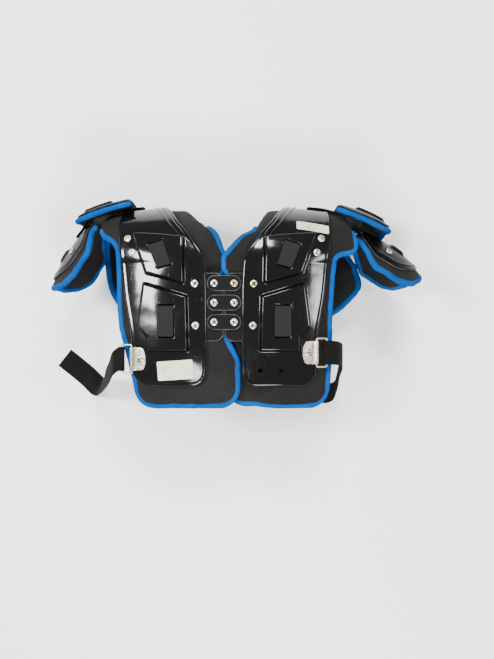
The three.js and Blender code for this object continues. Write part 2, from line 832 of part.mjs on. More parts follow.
function clipGeometry(side) {
  const outer = barRise;
  const leaf = new THREE.Shape();
  leaf.moveTo(-clipInner, clearance);
  leaf.lineTo(clipOuter, clearance);
  leaf.absarc(clipOuter, outer, outer - clearance, -Math.PI / 2, Math.PI / 2, false);
  leaf.lineTo(clipOuter - 1.2 * outer, 2 * outer - clearance - clipWall);
  leaf.lineTo(clipOuter - 2 * outer, clearance + 2 * clipWall);
  leaf.lineTo(-clipInner, clearance + 2 * clipWall);
  const tunnel = new THREE.Path();
  tunnel.absarc(clipOuter, outer, outer - clearance - clipWall, 0, 2 * Math.PI, true);
  leaf.holes.push(tunnel);
  const options = { bevelEnabled: false, curveSegments: 5 };
  const folded = new THREE.ExtrudeGeometry(leaf, { ...options, depth: clipHeight });
  folded.rotateX(Math.PI / 2).translate(0, clipHeight / 2, 0);
  const plan = new THREE.Shape();
  const end = clipOuter + 2 * outer;
  const roundStart = clipRound - clipInner;
  const halfPlan = clipHeight / 2 + clearance;
  plan.moveTo(end, -clipHeight);
  plan.lineTo(end, clipHeight);
  plan.lineTo(roundStart, halfPlan);
  plan.absellipse(roundStart, 0, clipRound, halfPlan, Math.PI / 2, 1.5 * Math.PI);
  const rounded = new THREE.ExtrudeGeometry(plan, { ...options, depth: 4 * outer });
  rounded.translate(0, 0, -outer);
  const bore = new THREE.CylinderGeometry(shankBore / 2, shankBore / 2, 4 * outer, 8).rotateX(Math.PI / 2);
  const clip = toSolid(folded).intersect(toSolid(rounded)).subtract(toSolid(bore));
  return bare(toGeometry(clip).scale(side, 1, 1));
}

// A rectangular ring of round wire with its inner bar at x = 0.
function ringGeometry(side) {
  const cornerSteps = 3;
  const turns = 4 * (cornerSteps + 1);
  const torus = new THREE.TorusGeometry(2, 1, 5, turns);
  const position = torus.attributes.position;
  const halfX = ringReach / 2;
  const halfY = (ringLength - ringWire) / 2;
  for (let k = 0; k < position.count; k += 1) {
    const [x, y, z] = [position.getX(k), position.getY(k), position.getZ(k)];
    const turn = (Math.round((Math.atan2(y, x) / (2 * Math.PI) + 1) * turns)) % turns;
    const corner = Math.floor(turn / (cornerSteps + 1));
    const angle = (corner + (turn % (cornerSteps + 1)) / cornerSteps) * Math.PI / 2;
    const signX = corner === 0 || corner === 3 ? 1 : -1;
    const signY = corner < 2 ? 1 : -1;
    const reach = ringRound + (Math.hypot(x, y) - 2) * ringWire / 2;
    position.setXYZ(
      k,
      side * (halfX + signX * (halfX - ringRound) + reach * Math.cos(angle)),
      signY * (halfY - ringRound) + reach * Math.sin(angle),
      z * ringWire / 2,
    );
  }
  return bare(torus);
}

// Where each strap runs once it has left its ring, as shares of the plate breadth, the back length and the
// body depth. lift is its height over the floor where it lies, and wide the direction across it.
const strapRoutes = {
  left: [
    { across: -1.035, run: -0.819, depth: 0.911, lift: 0, wide: [0, 1, 0] },
    { across: -1.106, run: -0.902, depth: 0.772, lift: 0, wide: [0.05, 1, 0] },
    { across: -1.206, run: -0.984, depth: 0.535, lift: 0, wide: [0.15, 0.98, 0.1] },
    { across: -1.288, run: -1.041, depth: 0.307, lift: 0, wide: [0.3, 0.95, 0.1] },
    { across: -1.359, run: -1.083, depth: 0.109, lift: 0, wide: [0.45, 0.89, 0] },
    { across: -1.418, run: -1.078, depth: 0, lift: 5, wide: [0.6, 0.8, 0] },
    { across: -1.541, run: -0.979, depth: 0, lift: 1.2, wide: [0.62, 0.78, 0] },
    { across: -1.776, run: -0.813, depth: 0, lift: 1.2, wide: [0.62, 0.78, 0] },
  ],
  right: [
    { across: 1.041, run: -0.736, depth: 0.921, lift: 0, wide: [0, 1, 0] },
    { across: 1.1, run: -0.756, depth: 0.851, lift: 0, wide: [0, 1, 0] },
    { across: 1.129, run: -0.87, depth: 0.569, lift: 0, wide: [0, 0.95, 0.3] },
    { across: 1.141, run: -1.026, depth: 0.297, lift: 0, wide: [0, 0.93, 0.35] },
    { across: 1.124, run: -1.13, depth: 0.109, lift: 0, wide: [0.1, 0.97, 0.2] },
    { across: 1.047, run: -1.15, depth: 0, lift: 4.5, wide: [0.25, 0.97, 0] },
    { across: 0.941, run: -1.083, depth: 0, lift: 2.4, wide: [0.35, 0.93, 0] },
    { across: 0.829, run: -0.984, depth: 0, lift: 5, wide: [0.25, 0.97, 0] },
    { across: 0.741, run: -0.902, depth: 0, lift: 8, wide: [0.05, 1, 0] },
    { across: 0.659, run: -0.86, depth: 0, lift: 6.1, wide: [0, 1, 0] },
  ],
};

for (const { name, side } of sides) {
  const seat = seatOn(side * clipAcross * plateBreadth, clipRun[name] * backLength, plateWall / 2);
  seat.updateMatrixWorld();
  addPiece(`clip_${name}`, clipGeometry(side), 'nickel', seat);
  const rivetTop = 2 * (clearance + clipWall);
  const rivet = addPiece(`rivet_clip_${name}`, rivetGeometry(rivetTop + plateWall), 'nickel', seat);
  rivet.position.z = rivetTop;
  const ring = addPiece(`ring_${name}`, ringGeometry(side), 'nickel', seat);
  ring.position.set(side * clipOuter, 0, barRise);
  const loop = ringWire / 2 + 3 * clearance + strapWall / 2;
  const bar = clipOuter + ringReach;
  const local = (x, z) => ({
    place: new THREE.Vector3(side * (bar + x), 0, barRise + z).applyMatrix4(seat.matrixWorld),
    across: new THREE.Vector3(0, 1, 0),
  });
  const round = [
    local(9, -loop),
    local(0, -loop),
    local(-loop * 0.87, -loop / 2),
    local(-loop * 0.87, loop / 2),
    local(0, loop),
    local(5, loop),
  ];
  const run = strapRoutes[name].map((row) => ({
    place: new THREE.Vector3(
      row.across * plateBreadth,
      row.run * backLength,
      row.depth * bodyDepth + row.lift,
    ),
    across: new THREE.Vector3(...row.wide),
  }));
  const free = smoothRoute([round[round.length - 1], ...run], 22);
  addPiece(`strap_${name}`, strapGeometry([...round, ...free.slice(1)], strapWidth, strapWall), 'elastic');
}

// Webbing that carries the flaps: along the shell over the shoulder, under the epaulet, onto the arm flap.
for (const { name, side } of sides) {
  const middle = archRun / 2;
  const lift = plateWall / 2 + 3 * clearance + webWall / 2;
  const onPlate = hingeStrapAcross.map((share) => {
    const x = side * share * plateBreadth;
    return bodySurface(x, middle).addScaledVector(normalOf(bodySurface, x, middle), lift);
  });
  const { epaulet, arm_flap: armFlap } = flaps;
  const sag = epaulet[name].crown * (hingeStrapWidth / 2 / epaulet.halfWidth) ** 2;
  const under = -(flapWall / 2 + flapSeat + flapPad + 2 * clearance + webWall / 2 + sag);
  const on = flapWall / 2 + clearance + webWall / 2;
  const flapPoint = (flap, along, height) => {
    const surface = flapSurface(flap, side);
    return surface(0, along).addScaledVector(normalOf(surface, 0, along), height);
  };
  const places = [
    ...onPlate,
    flapPoint(epaulet, -30, under - 0.6),
    flapPoint(epaulet, -44, under),
    flapPoint(armFlap, 1, on + flapWall / 2),
    flapPoint(armFlap, -10, on),
    flapPoint(armFlap, -28, on),
  ];
  const route = places.map((place) => ({ place, across: new THREE.Vector3(0, 0, -side) }));
  addPiece(`flap_webbing_${name}`, strapGeometry(route, hingeStrapWidth, webWall), 'webbing');
}

for (const { name, side } of sides) {
  const label = labels[name];
  const turn = THREE.MathUtils.degToRad(label.turn);
  const cells = [-0.5, 0, 0.5].map((up) => [-0.5, -0.17, 0.17, 0.5].map((over) => {
    const x = over * label.width;
    const y = up * label.height;
    return {
      x: side * label.across * plateBreadth + x * Math.cos(turn) - y * Math.sin(turn),
      along: label.run * backLength + x * Math.sin(turn) + y * Math.cos(turn),
    };
  }));
  const low = plateWall / 2 + clearance;
  addPiece(`sticker_${name}`, sheet(cells, bodySurface, low, low + labelWall), 'sticker');
}

// The front closure fills the gap between the front halves of the plates.
const closureY = -closureAlong * frontLength;
const closureEdge = archRun - closureY + closureLength / 2;
const closureHalf = follow(plateTable, 'inner', closureEdge) - clearance;
const closureShape = roundedPlate(
  -closureHalf,
  closureY - closureLength / 2,
  2 * closureHalf,
  closureLength,
  closureRound,
  [],
);
const closure = new THREE.ExtrudeGeometry(closureShape, {
  depth: plateWall,
  bevelEnabled: false,
  curveSegments: 1,
});
addPiece('front_closure', bare(closure), 'plastic');

// Stand the origin under the middle of the whole.
model.updateMatrixWorld(true);
const extent = new THREE.Box3().setFromObject(model, true);
const centre = extent.getCenter(new THREE.Vector3());
for (const child of model.children) child.position.sub(new THREE.Vector3(centre.x, centre.y, extent.min.z));

export default model;
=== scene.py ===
import bmesh
import bpy
import numpy as np
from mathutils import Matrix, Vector


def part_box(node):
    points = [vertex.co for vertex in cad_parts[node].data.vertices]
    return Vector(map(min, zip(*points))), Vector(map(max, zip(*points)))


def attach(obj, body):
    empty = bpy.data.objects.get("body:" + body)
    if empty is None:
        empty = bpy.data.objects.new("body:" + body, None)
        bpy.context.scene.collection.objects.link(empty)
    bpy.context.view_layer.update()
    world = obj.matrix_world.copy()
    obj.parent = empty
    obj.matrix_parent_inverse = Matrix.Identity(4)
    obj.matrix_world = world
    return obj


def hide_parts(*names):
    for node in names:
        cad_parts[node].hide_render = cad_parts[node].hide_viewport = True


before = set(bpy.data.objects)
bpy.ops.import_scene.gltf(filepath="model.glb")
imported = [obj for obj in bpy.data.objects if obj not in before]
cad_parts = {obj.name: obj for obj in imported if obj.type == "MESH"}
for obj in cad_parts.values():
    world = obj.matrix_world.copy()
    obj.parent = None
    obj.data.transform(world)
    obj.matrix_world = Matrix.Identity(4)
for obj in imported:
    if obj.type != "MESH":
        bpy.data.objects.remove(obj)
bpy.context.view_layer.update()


# Camera, floor and light. The pads lie on a white table and are photographed from straight above, under
# soft lamps whose reflections break up on the glossy shells.
camera = bpy.data.objects.new("camera", bpy.data.cameras.new("camera"))
bpy.context.scene.collection.objects.link(camera)
camera.location = (0.0275, -0.0412, 1.2551)
camera.data.sensor_width = 36
camera.data.lens = 37.0
bpy.context.scene.camera = camera

world = bpy.data.worlds.new("studio")
bpy.context.scene.world = world
world.use_nodes = True
world.node_tree.nodes["Background"].inputs["Color"].default_value = (1, 1, 1, 1)
world.node_tree.nodes["Background"].inputs["Strength"].default_value = 0.42


def softbox(name, place, aim, width, height, power):
    """A rectangular lamp at place, turned to aim, in metres and watts."""
    lamp = bpy.data.lights.new(name, "AREA")
    lamp.shape = "RECTANGLE"
    lamp.size, lamp.size_y, lamp.energy = width, height, power
    box = bpy.data.objects.new(name, lamp)
    bpy.context.scene.collection.objects.link(box)
    box.location = place
    box.rotation_euler = (Vector(aim) - Vector(place)).to_track_quat("-Z", "Y").to_euler()


softbox("lamp_left", (-1.35, 0.35, 1.9), (0, 0, 0.1), 0.5, 0.55, 70)
softbox("lamp_right", (1.6, 0.1, 1.6), (0, 0, 0.1), 0.3, 0.4, 14)
softbox("lamp_front", (0.25, -1.6, 1.7), (0, 0, 0.1), 0.8, 0.4, 72)
softbox("lamp_top", (0.1, 1.5, 2.0), (0, 0, 0.1), 0.8, 0.4, 66)
softbox("lamp_near", (-0.19, -0.50, 1.9), (0, 0, 0.1), 0.14, 0.10, 3.4)


class Shade:
    """A socket of a material. Sums written on it add the Math nodes that work them out."""

    def __init__(self, tree, socket):
        self.tree = tree
        self.socket = socket

    def _math(self, operation, first, second):
        node = self.tree.nodes.new("ShaderNodeMath")
        node.operation = operation
        for socket, value in zip(node.inputs, (first, second)):
            feed(self.tree, socket, value)
        return Shade(self.tree, node.outputs[0])

    def __add__(self, other):
        return self._math("ADD", self, other)

    def __rsub__(self, other):
        return self._math("SUBTRACT", other, self)

    def __mul__(self, other):
        return self._math("MULTIPLY", self, other)


def feed(tree, socket, value):
    """Links a shade to a socket, or sets the socket to a plain value."""
    if isinstance(value, Shade):
        tree.links.new(value.socket, socket)
    elif isinstance(value, (tuple, list)) and len(value) == 3 and socket.type == "RGBA":
        socket.default_value = (*value, 1)
    else:
        socket.default_value = value


class Finish:
    """A material with one Principled shader. Constants go on the shader's own sockets."""

    def __init__(self, name, **constants):
        self.material = bpy.data.materials.new(name)
        self.material.use_nodes = True
        self.tree = self.material.node_tree
        self.shader = self.tree.nodes["Principled BSDF"]
        for socket, value in constants.items():
            feed(self.tree, self.shader.inputs[socket.replace("_", " ")], value)

    def node(self, kind, settings=None, sockets=None, output=0):
        """One node: its settings are set first, then the values or links of its sockets."""
        node = self.tree.nodes.new(kind)
        for key, value in (settings or {}).items():
            setattr(node, key, value)
        for socket, value in (sockets or {}).items():
            feed(self.tree, node.inputs[socket], value)
        return Shade(self.tree, node.outputs[output])

    def attribute(self, name):
        return self.node("ShaderNodeAttribute", {"attribute_name": name}, output="Fac")

    def place(self, scale=(1, 1, 1), turn=0.0):
        """Object coordinates in metres, stretched by scale and turned about z."""
        coordinates = self.node("ShaderNodeTexCoord", output="Object")
        return self.node("ShaderNodeMapping", {"vector_type": "POINT"},
                         {"Vector": coordinates, "Scale": scale, "Rotation": (0, 0, turn)})

    def noise(self, scale, detail=3.0, roughness=0.5, vector=None):
        vector = self.place() if vector is None else vector
        return self.node("ShaderNodeTexNoise", None,
                         {"Vector": vector, "Scale": scale, "Detail": detail, "Roughness": roughness})

    def step(self, value, low, high):
        """0 below low, 1 above high and smooth between."""
        return self.node("ShaderNodeMapRange", {"interpolation_type": "SMOOTHSTEP"},
                         {"Value": value, "From Min": low, "From Max": high})

    def patches(self, low, high, *noise):
        """A step over noise."""
        return self.step(self.noise(*noise), low, high)

    def blend(self, share, first, second):
        """A colour that goes from first to second as share goes from 0 to 1."""
        return self.node("ShaderNodeMix", {"data_type": "RGBA"},
                         {0: share, 6: first, 7: second}, output=2)

    def lay(self, socket, value):
        feed(self.tree, self.shader.inputs[socket], value)

    def bump(self, height, distance, strength, under=None):
        sockets = {"Height": height, "Distance": distance, "Strength": strength}
        if under is not None:
            sockets["Normal"] = under
        return self.node("ShaderNodeBump", None, sockets)


table = Finish("white_table", Roughness=0.9)
table.lay("Base Color", table.blend(table.noise(6.0), (0.95, 0.95, 0.95), (0.97, 0.97, 0.97)))
floor_mesh = bpy.data.meshes.new("floor")
floor_mesh.from_pydata([(-6, -6, 0), (6, -6, 0), (6, 6, 0), (-6, 6, 0)], [], [(0, 1, 2, 3)])
floor_mesh.materials.append(table.material)
floor = bpy.data.objects.new("floor", floor_mesh)
bpy.context.scene.collection.objects.link(floor)


# Pads. Each side has a back and a front pad of 11 mm foam in black nylon, which meet on top of the shoulder
# under the shell. They are sewn shut, so they puff a little between the bound edges.
back_length = 193.0
front_length = 172.0
arch_reach = 101.0
shoulder_spread = 0.7
body_depth = 202.0
plate_breadth = 170.0
wrap_start = 45.0
wrap_drop = 26.5
hem_dip_start = 125.0
hem_dip = 4.0
plate_wall = 3.2
pad_thickness = 11.0
pad_seat = 0.7
closure_share = 0.72
binding_width = 9.0
arch_run = np.pi * (arch_reach + body_depth / 2) / 2
wrap_rate = wrap_drop / (plate_breadth - wrap_start) ** 2
sides = {"left": -1.0, "right": 1.0}

closure_low, closure_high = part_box("front_closure")
origin = np.array([
    (closure_low.x + closure_high.x) / 2,
    (closure_low.y + closure_high.y) / 2 + closure_share * front_length / 1000,
    closure_low.z,
])


def frame_place(points):
    """Millimetres from the middle of the spine at the shoulder line, to metres in the shared frame."""
    return np.asarray(points, float) / 1000 + origin


def body_surface(x, run):
    """Flat down the back, a half ellipse over the shoulder and flat down the front, where run is the distance
    along it from the shoulder line. Away from the centre line it wraps forward by the square of the distance,
    and over the shoulder less than that, by a share of the sine of the angle."""
    x, run = np.broadcast_arrays(np.asarray(x, float), np.asarray(run, float))
    drop = wrap_rate * np.maximum(0, np.abs(x) - wrap_start) ** 2
    middle = plate_wall / 2 + body_depth / 2
    dip = hem_dip * (np.maximum(0, -run - hem_dip_start) / (back_length - hem_dip_start)) ** 2
    angle = np.clip(np.pi * run / arch_run, 0, np.pi)
    out_y = np.sin(angle) * body_depth / 2
    out_z = np.cos(angle) * arch_reach
    held = drop * (1 - shoulder_spread * np.sin(angle)) / np.hypot(out_y, out_z)
    arch_y = arch_reach * np.sin(angle) - held * out_y
    arch_z = middle + body_depth / 2 * np.cos(angle) - held * out_z
    y = np.where(run <= 0, run, np.where(run >= arch_run, arch_run - run, arch_y))
    z = np.where(run <= 0, middle + body_depth / 2 - dip - drop,
                 np.where(run >= arch_run, middle - body_depth / 2 + drop, arch_z))
    return np.stack([x, y, z], -1)


def unit(vectors):
    return vectors / np.linalg.norm(vectors, axis=-1, keepdims=True)


def normal_of(surface, x, run, step=0.25):
    """The cross product of the differences across and along, which points out of the body."""
    across = surface(x + step, run) - surface(x - step, run)
    onward = surface(x, run + step) - surface(x, run - step)
    return unit(np.cross(across, onward))


def body_run(s):
    """-1 is the back hem, 0 and 1 the ends of the shoulder arch and 2 the front hem."""
    s = np.asarray(s, float)
    front = arch_run + (s - 1) * front_length
    return np.where(s <= 0, s * back_length, np.where(s <= 1, s * arch_run, front))


def follow(stations, values, run):
    """A cubic through the rows of a table. Its slope at each row is the harmonic mean of the slopes on the
    two sides, or 0 where they differ in sign."""
    run = np.asarray(run, float)
    secant = np.diff(values) / np.diff(stations)
    before = np.concatenate([secant[:1], secant])
    after = np.concatenate([secant, secant[-1:]])
    both = before * after
    slope = np.where(both > 0, 2 * both / np.where(both > 0, before + after, 1), 0)
    k = np.clip(np.searchsorted(stations, run, side="left") - 1, 0, len(secant) - 1)
    span = stations[k + 1] - stations[k]
    t = np.clip((run - stations[k]) / span, 0, 1)
    bend = t * (1 - t) * span
    return (values[k] * (1 - t) ** 2 * (1 + 2 * t) + values[k + 1] * t ** 2 * (3 - 2 * t)
            + bend * ((1 - t) * slope[k] - t * slope[k + 1]))


def smoothstep(value, low, high):
    t = np.clip((value - low) / (high - low), 0, 1)
    return t * t * (3 - 2 * t)


def rounded(depth, reach):
    """A quarter of a circle, from 0 at the rim to 1 from reach in."""
    return np.sqrt(np.clip(1 - (1 - np.clip(depth / reach, 0, 1)) ** 2, 0, 1))


def corner_draw(past, corner, inset=0.0):
    """How far a corner's circle draws a side in, where past is the distance beyond the circle's centre."""
    reach = corner - inset
    return corner - np.sqrt(np.maximum(0, reach ** 2 - np.minimum(past, reach) ** 2))


def corner_depth(inward, up, corner):
    """The distance in from a side or a hem, or near both from the circle of the corner."""
    circle = corner - np.hypot(corner - inward, corner - up)
    return np.where((inward < corner) & (up < corner), circle, np.minimum(inward, up))


class Outline:
    """The edge of a panel: inner and outer tables of distance from the centre line along the body, from a top
    to a hem whose two corners are round."""

    def __init__(self, rows, top, hem, corner, scale=plate_breadth, run_of=body_run):
        rows = np.array(rows, float)
        stations = run_of(rows[:, 0])
        order = np.argsort(stations)
        self.stations = np.asarray(stations, float)[order]
        self.inner_table, self.outer_table = rows[order, 1] * scale, rows[order, 2] * scale
        self.top, self.hem, self.corner = top, hem, corner
        self.toward = np.sign(hem - top)
        self.foot = hem - self.toward * corner

    def edges(self, run):
        return follow(self.stations, self.inner_table, run), follow(self.stations, self.outer_table, run)

    def sides(self, run, inset=0.0):
        """The inner and outer edge at a run. Below the corners' centres they follow the corner circles."""
        past = np.maximum(0, self.toward * (run - self.foot))
        inner, outer = self.edges(run - self.toward * past)
        draw = np.where(past > 0, corner_draw(past, self.corner, inset), inset)
        return inner + draw, outer - draw

    def depth(self, x, run):
        """The distance in from the edge: to the nearest side, to the hem, or to a corner's circle."""
        past = np.maximum(0, self.toward * (run - self.foot))
        inner, outer = self.edges(run - self.toward * past)
        return corner_depth(np.minimum(x - inner, outer - x), self.toward * (self.hem - run), self.corner)


def spread(runs, inner, outer, edge, columns):
    """Rows of places from the inner to the outer edge, which crowd towards both by the steps of edge."""
    edge = np.array(edge)
    low, high = inner + edge[-1], outer - edge[-1]
    middle = np.linspace(0, 1, columns)[1:-1]
    x = np.concatenate([inner[:, None] + edge, low[:, None] + (high - low)[:, None] * middle,
                        outer[:, None] - edge[::-1]], axis=1)
    return x, np.repeat(runs[:, None], x.shape[1], axis=1)


def panel_grid(outline, rows, columns, inset, edge):
    """Runs from the top to the hem, with closer ones round the corners, and places across each of them."""
    angles = np.linspace(0, np.pi / 2, max(6, int(outline.corner / 2.2)))[1:]
    runs = np.concatenate([np.linspace(outline.top, outline.foot, rows),
                           outline.foot + outline.toward * (outline.corner - inset) * np.sin(angles)])
    return spread(runs, *outline.sides(runs, inset), edge, columns)


def quads(index):
    return np.stack([index[:-1, :-1], index[:-1, 1:], index[1:, 1:], index[1:, :-1]], -1).reshape(-1, 4)


def shell_mesh(name, high, low, cut, finish, marks=None):
    """A closed body between two grids of points that share their rim. The two grids of cut, in millimetres,
    become the UV map in metres, and each grid of marks becomes an attribute of the points."""
    rows, columns = high.shape[:2]
    top_index = np.arange(rows * columns).reshape(rows, columns)
    low_index = top_index.copy()
    inner = (rows - 2) * (columns - 2)
    low_index[1:-1, 1:-1] = rows * columns + np.arange(inner).reshape(rows - 2, columns - 2)

    def both(upper, lower):
        return np.concatenate([upper.reshape(rows * columns, -1), lower[1:-1, 1:-1].reshape(inner, -1)])

    faces = np.concatenate([quads(top_index), quads(low_index)[:, ::-1]])
    cut = np.stack(cut, -1)
    fields = {key: both(grid, grid).ravel() for key, grid in (marks or {}).items()}
    return solid(name, both(high, low), faces, both(cut, cut), finish, fields)


def layered(name, surface, x, run, high, low, finish, cut, marks=None):
    """A closed body between two heights over a surface."""
    mid, normal = surface(x, run), normal_of(surface, x, run)
    return shell_mesh(name, mid + normal * high[..., None], mid + normal * low[..., None], cut, finish, marks)


def solid(name, points, faces, flat, finish, fields=None):
    """An object at the origin from points in millimetres and four-sided faces, turned to face outwards."""
    points = frame_place(points)
    faces = np.asarray(faces)
    corners = points[faces]
    first = np.einsum("ij,ij->i", corners[:, 0], np.cross(corners[:, 1], corners[:, 2]))
    second = np.einsum("ij,ij->i", corners[:, 0], np.cross(corners[:, 2], corners[:, 3]))
    if (first + second).sum() < 0:
        faces = faces[:, ::-1]
    mesh = bpy.data.meshes.new(name)
    mesh.vertices.add(len(points))
    mesh.vertices.foreach_set("co", points.ravel())
    mesh.loops.add(faces.size)
    mesh.loops.foreach_set("vertex_index", faces.ravel())
    mesh.polygons.add(len(faces))
    mesh.polygons.foreach_set("loop_start", np.arange(0, faces.size, 4))
    mesh.polygons.foreach_set("use_smooth", np.ones(len(faces), bool))
    layer = mesh.uv_layers.new(name="cut")
    layer.uv.foreach_set("vector", (flat[faces.ravel()] / 1000).ravel())
    for key, values in (fields or {}).items():
        mesh.attributes.new(key, "FLOAT", "POINT").data.foreach_set("value", values)
    mesh.update(calc_edges=True)
    mesh.validate()
    mesh.materials.append(finish.material)
    piece = bpy.data.objects.new(name, mesh)
    bpy.context.scene.collection.objects.link(piece)
    return piece


def fit(piece, node):
    """The piece rides on the one body and stands for its CAD node."""
    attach(piece, "root")
    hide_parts(node)
    return piece


def weave(finish, pitch, ways=2):
    """The height of a weave: the product of the sines across and along the cloth, or the first alone."""
    cut = finish.node("ShaderNodeUVMap", {"uv_map": "cut"})
    split = finish.node("ShaderNodeSeparateXYZ", None, {"Vector": cut}).socket.node
    turns = [Shade(finish.tree, split.outputs[k]) * (2 * np.pi / pitch) for k in range(ways)]
    waves = [finish.node("ShaderNodeMath", {"operation": "SINE"}, {0: turn}) for turn in turns]
    return waves[0] * waves[1] if ways == 2 else waves[0]


nylon = Finish("black_nylon", Roughness=0.85, Sheen_Weight=0.03, Sheen_Roughness=0.45,
               Specular_IOR_Level=0.14)
nylon_colour = nylon.blend(nylon.patches(0.3, 0.7, 9.0, 4.0), (0.0068, 0.0066, 0.0063),
                           (0.0125, 0.012, 0.0112))
nylon_lint = nylon.patches(0.66, 0.74, 420.0, 2.0)
nylon.lay("Base Color", nylon.blend(nylon_lint * 0.3, nylon_colour, (0.06, 0.057, 0.055)))
nylon_crease = nylon.bump(nylon.noise(38.0, 3.0, 0.55), 0.0016, 0.55)
nylon.lay("Normal", nylon.bump(weave(nylon, 0.0014), 0.00025, 0.8, nylon_crease))

back_pad_rows = {
    "left": [(-1.2, -0.135, 0.82), (-1, -0.148, 0.865), (-0.83, -0.147, 0.91), (-0.65, -0.065, 0.965),
             (-0.5, 0, 1.01), (-0.2, 0.006, 1.03), (-0.1, 0.004, 1.03), (-0.04, -0.028, 1.033),
             (0.035, -0.028, 1.034), (0.08, 0, 1.04), (0.11, 0.016, 1.05), (0.17, 0.062, 1.11),
             (0.22, 0.15, 1.19), (0.28, 0.225, 1.22), (0.5, 0.4, 1.17)],
    "right": [(-1.2, 0.01, 0.985), (-0.83, 0.01, 1.018), (-0.4, 0.01, 1.03), (-0.2, 0.008, 1.045),
              (-0.1, 0.004, 1.055), (-0.04, -0.03, 1.063), (0.02, -0.03, 1.07), (0.06, 0.015, 1.11),
              (0.1, 0.07, 1.25), (0.14, 0.128, 1.28), (0.19, 0.25, 1.27), (0.5, 0.42, 1.17)],
}
front_pad_rows = {
    "left": [(0.5, 0.4, 1.2), (0.68, 0.3, 1.26), (0.85, 0.2, 1.29), (1, 0.1, 1.28), (1.15, 0.05, 1.26),
             (1.35, 0.02, 1.17), (1.55, 0.02, 1.01), (2.2, 0.02, 0.93)],
    "right": [(0.5, 0.4, 1.2), (0.68, 0.3, 1.25), (0.85, 0.2, 1.29), (1, 0.1, 1.37), (1.15, 0.05, 1.41),
              (1.35, 0.02, 1.27), (1.55, 0.02, 1.04), (2.2, 0.02, 0.93)],
}
pad_round = 34.0
pad_overhang = 38.0
front_overhang = 26.0
pad_inset = 3.5
ear_sink = 2.7
tuck_sink = 11.6
pad_middle = -plate_wall / 2 - pad_seat - pad_thickness / 2
pad_outlines = {
    name: {
        "back": Outline(back_pad_rows[name], arch_run / 2, -back_length - pad_overhang, pad_round),
        "front": Outline(front_pad_rows[name], arch_run / 2 + 1, arch_run + front_length + front_overhang,
                         pad_round),
    } for name in sides
}
cloth_steps = 16
cloth_settings = {"quality": 5, "mass": 0.25, "tension_stiffness": 12, "compression_stiffness": 12,
                  "shear_stiffness": 4, "bending_stiffness": 0.4, "use_pressure": True, "shrink_min": -0.035,
                  "vertex_group_mass": "sewn_edge"}


def pad_sink(x, run, side):
    """The pads sink where the ears lie under the shells, and a pad that goes under the other sinks further:
    the right one at the bottom of the back, and the left one at the neck."""
    sink = ear_sink * (1 - smoothstep(np.abs(x), 77, 110))
    if side > 0:
        tuck = (1 - smoothstep(x, 40, 88)) * smoothstep(-run, 52, 87)
    else:
        tuck = (1 - smoothstep(x, 12, 42)) * smoothstep(run, -30, -16) * (1 - smoothstep(run, 26, 58))
    return np.where(run < arch_run / 2, sink + tuck_sink * tuck, 0)


def puff(piece, shape, pressure, most):
    """Cloth with air pressure inside, held at the rim of its grid. No point moves further than most, in
    metres: its shift is drawn in by the hyperbolic tangent."""
    mesh = piece.data
    grid = np.arange(shape[0] * shape[1]).reshape(shape)
    rim = np.unique(np.concatenate([grid[0], grid[-1], grid[:, 0], grid[:, -1]]))
    start, moved = np.empty((2, len(mesh.vertices) * 3))
    mesh.vertices.foreach_get("co", start)
    piece.vertex_groups.new(name="sewn_edge").add(rim.tolist(), 1.0, "REPLACE")
    cloth = piece.modifiers.new("cloth", "CLOTH")
    for key, value in cloth_settings.items():
        setattr(cloth.settings, key, value)
    cloth.settings.uniform_pressure_force = pressure
    cloth.settings.effector_weights.gravity = 0
    cloth.collision_settings.use_collision = False
    for step in range(1, cloth_steps + 1):
        bpy.context.scene.frame_set(step)
    posed = piece.evaluated_get(bpy.context.evaluated_depsgraph_get())
    posed.to_mesh().vertices.foreach_get("co", moved)
    posed.to_mesh_clear()
    piece.modifiers.remove(cloth)
    bpy.context.scene.frame_set(1)
    shift = (moved - start).reshape(-1, 3)
    size = np.linalg.norm(shift, axis=1, keepdims=True)
    shift *= most * np.tanh(size / most) / np.maximum(size, 1e-9)
    mesh.vertices.foreach_set("co", (start.reshape(-1, 3) + shift).ravel())
    mesh.update()


def soft_pad(name, node, surface, side, outline, grid, half, full, top_slope, middle, pressure, most):
    """A padded piece inside an outline: flat half-thicknesses half apart from the middle, rounded over full
    at the edge and less steeply at the top, then puffed and smoothed."""
    x, run = panel_grid(outline, *grid)
    depth = np.minimum(outline.depth(x, run) - pad_inset, np.abs(run - outline.top) * top_slope)
    rise = half * rounded(depth, full)
    middle = middle(x, run)
    pad = layered(name, surface, x * side, run, middle + rise, middle - rise, nylon, (x, run))
    puff(pad, x.shape, pressure, most)
    smooth = pad.modifiers.new("smooth", "SUBSURF")
    smooth.levels = smooth.render_levels = 1
    fit(pad, node)


for name, side in sides.items():
    for place, outline in pad_outlines[name].items():
        soft_pad(f"{place}_pad_soft_{name}", f"{place}_pad_{name}", body_surface, side, outline,
                 (58, 30, pad_inset, (0.0, 1.2, 3.4, 7.0)), pad_thickness / 2 - 0.9, 7, 0.8,
                 lambda x, run: pad_middle - pad_sink(x, run, side), 4.0, 0.0016)


# Bindings. A 9 mm folded tape of bright blue knitted polyester is sewn round the edge of each pad. It stops
# where the edge goes over the top of the shoulder.
blue = Finish("blue_binding", Roughness=0.8, Specular_IOR_Level=0.04)
blue_colour = blue.blend(blue.patches(0.3, 0.72, 26.0, 4.0), (0.0, 0.050, 0.215), (0.0, 0.070, 0.30))
blue_grime = blue.patches(0.6, 0.75, 8.0, 2.0)
blue.lay("Base Color", blue.blend(blue_grime * 0.35, blue_colour, (0.0, 0.055, 0.15)))
blue_crease = blue.bump(blue.noise(120.0, 3.0), 0.0009, 0.6)
blue.lay("Normal", blue.bump(weave(blue, 0.0016), 0.00022, 0.8, blue_crease))
binding_starts = {"back": (66, 79), "front": (227, 205)}


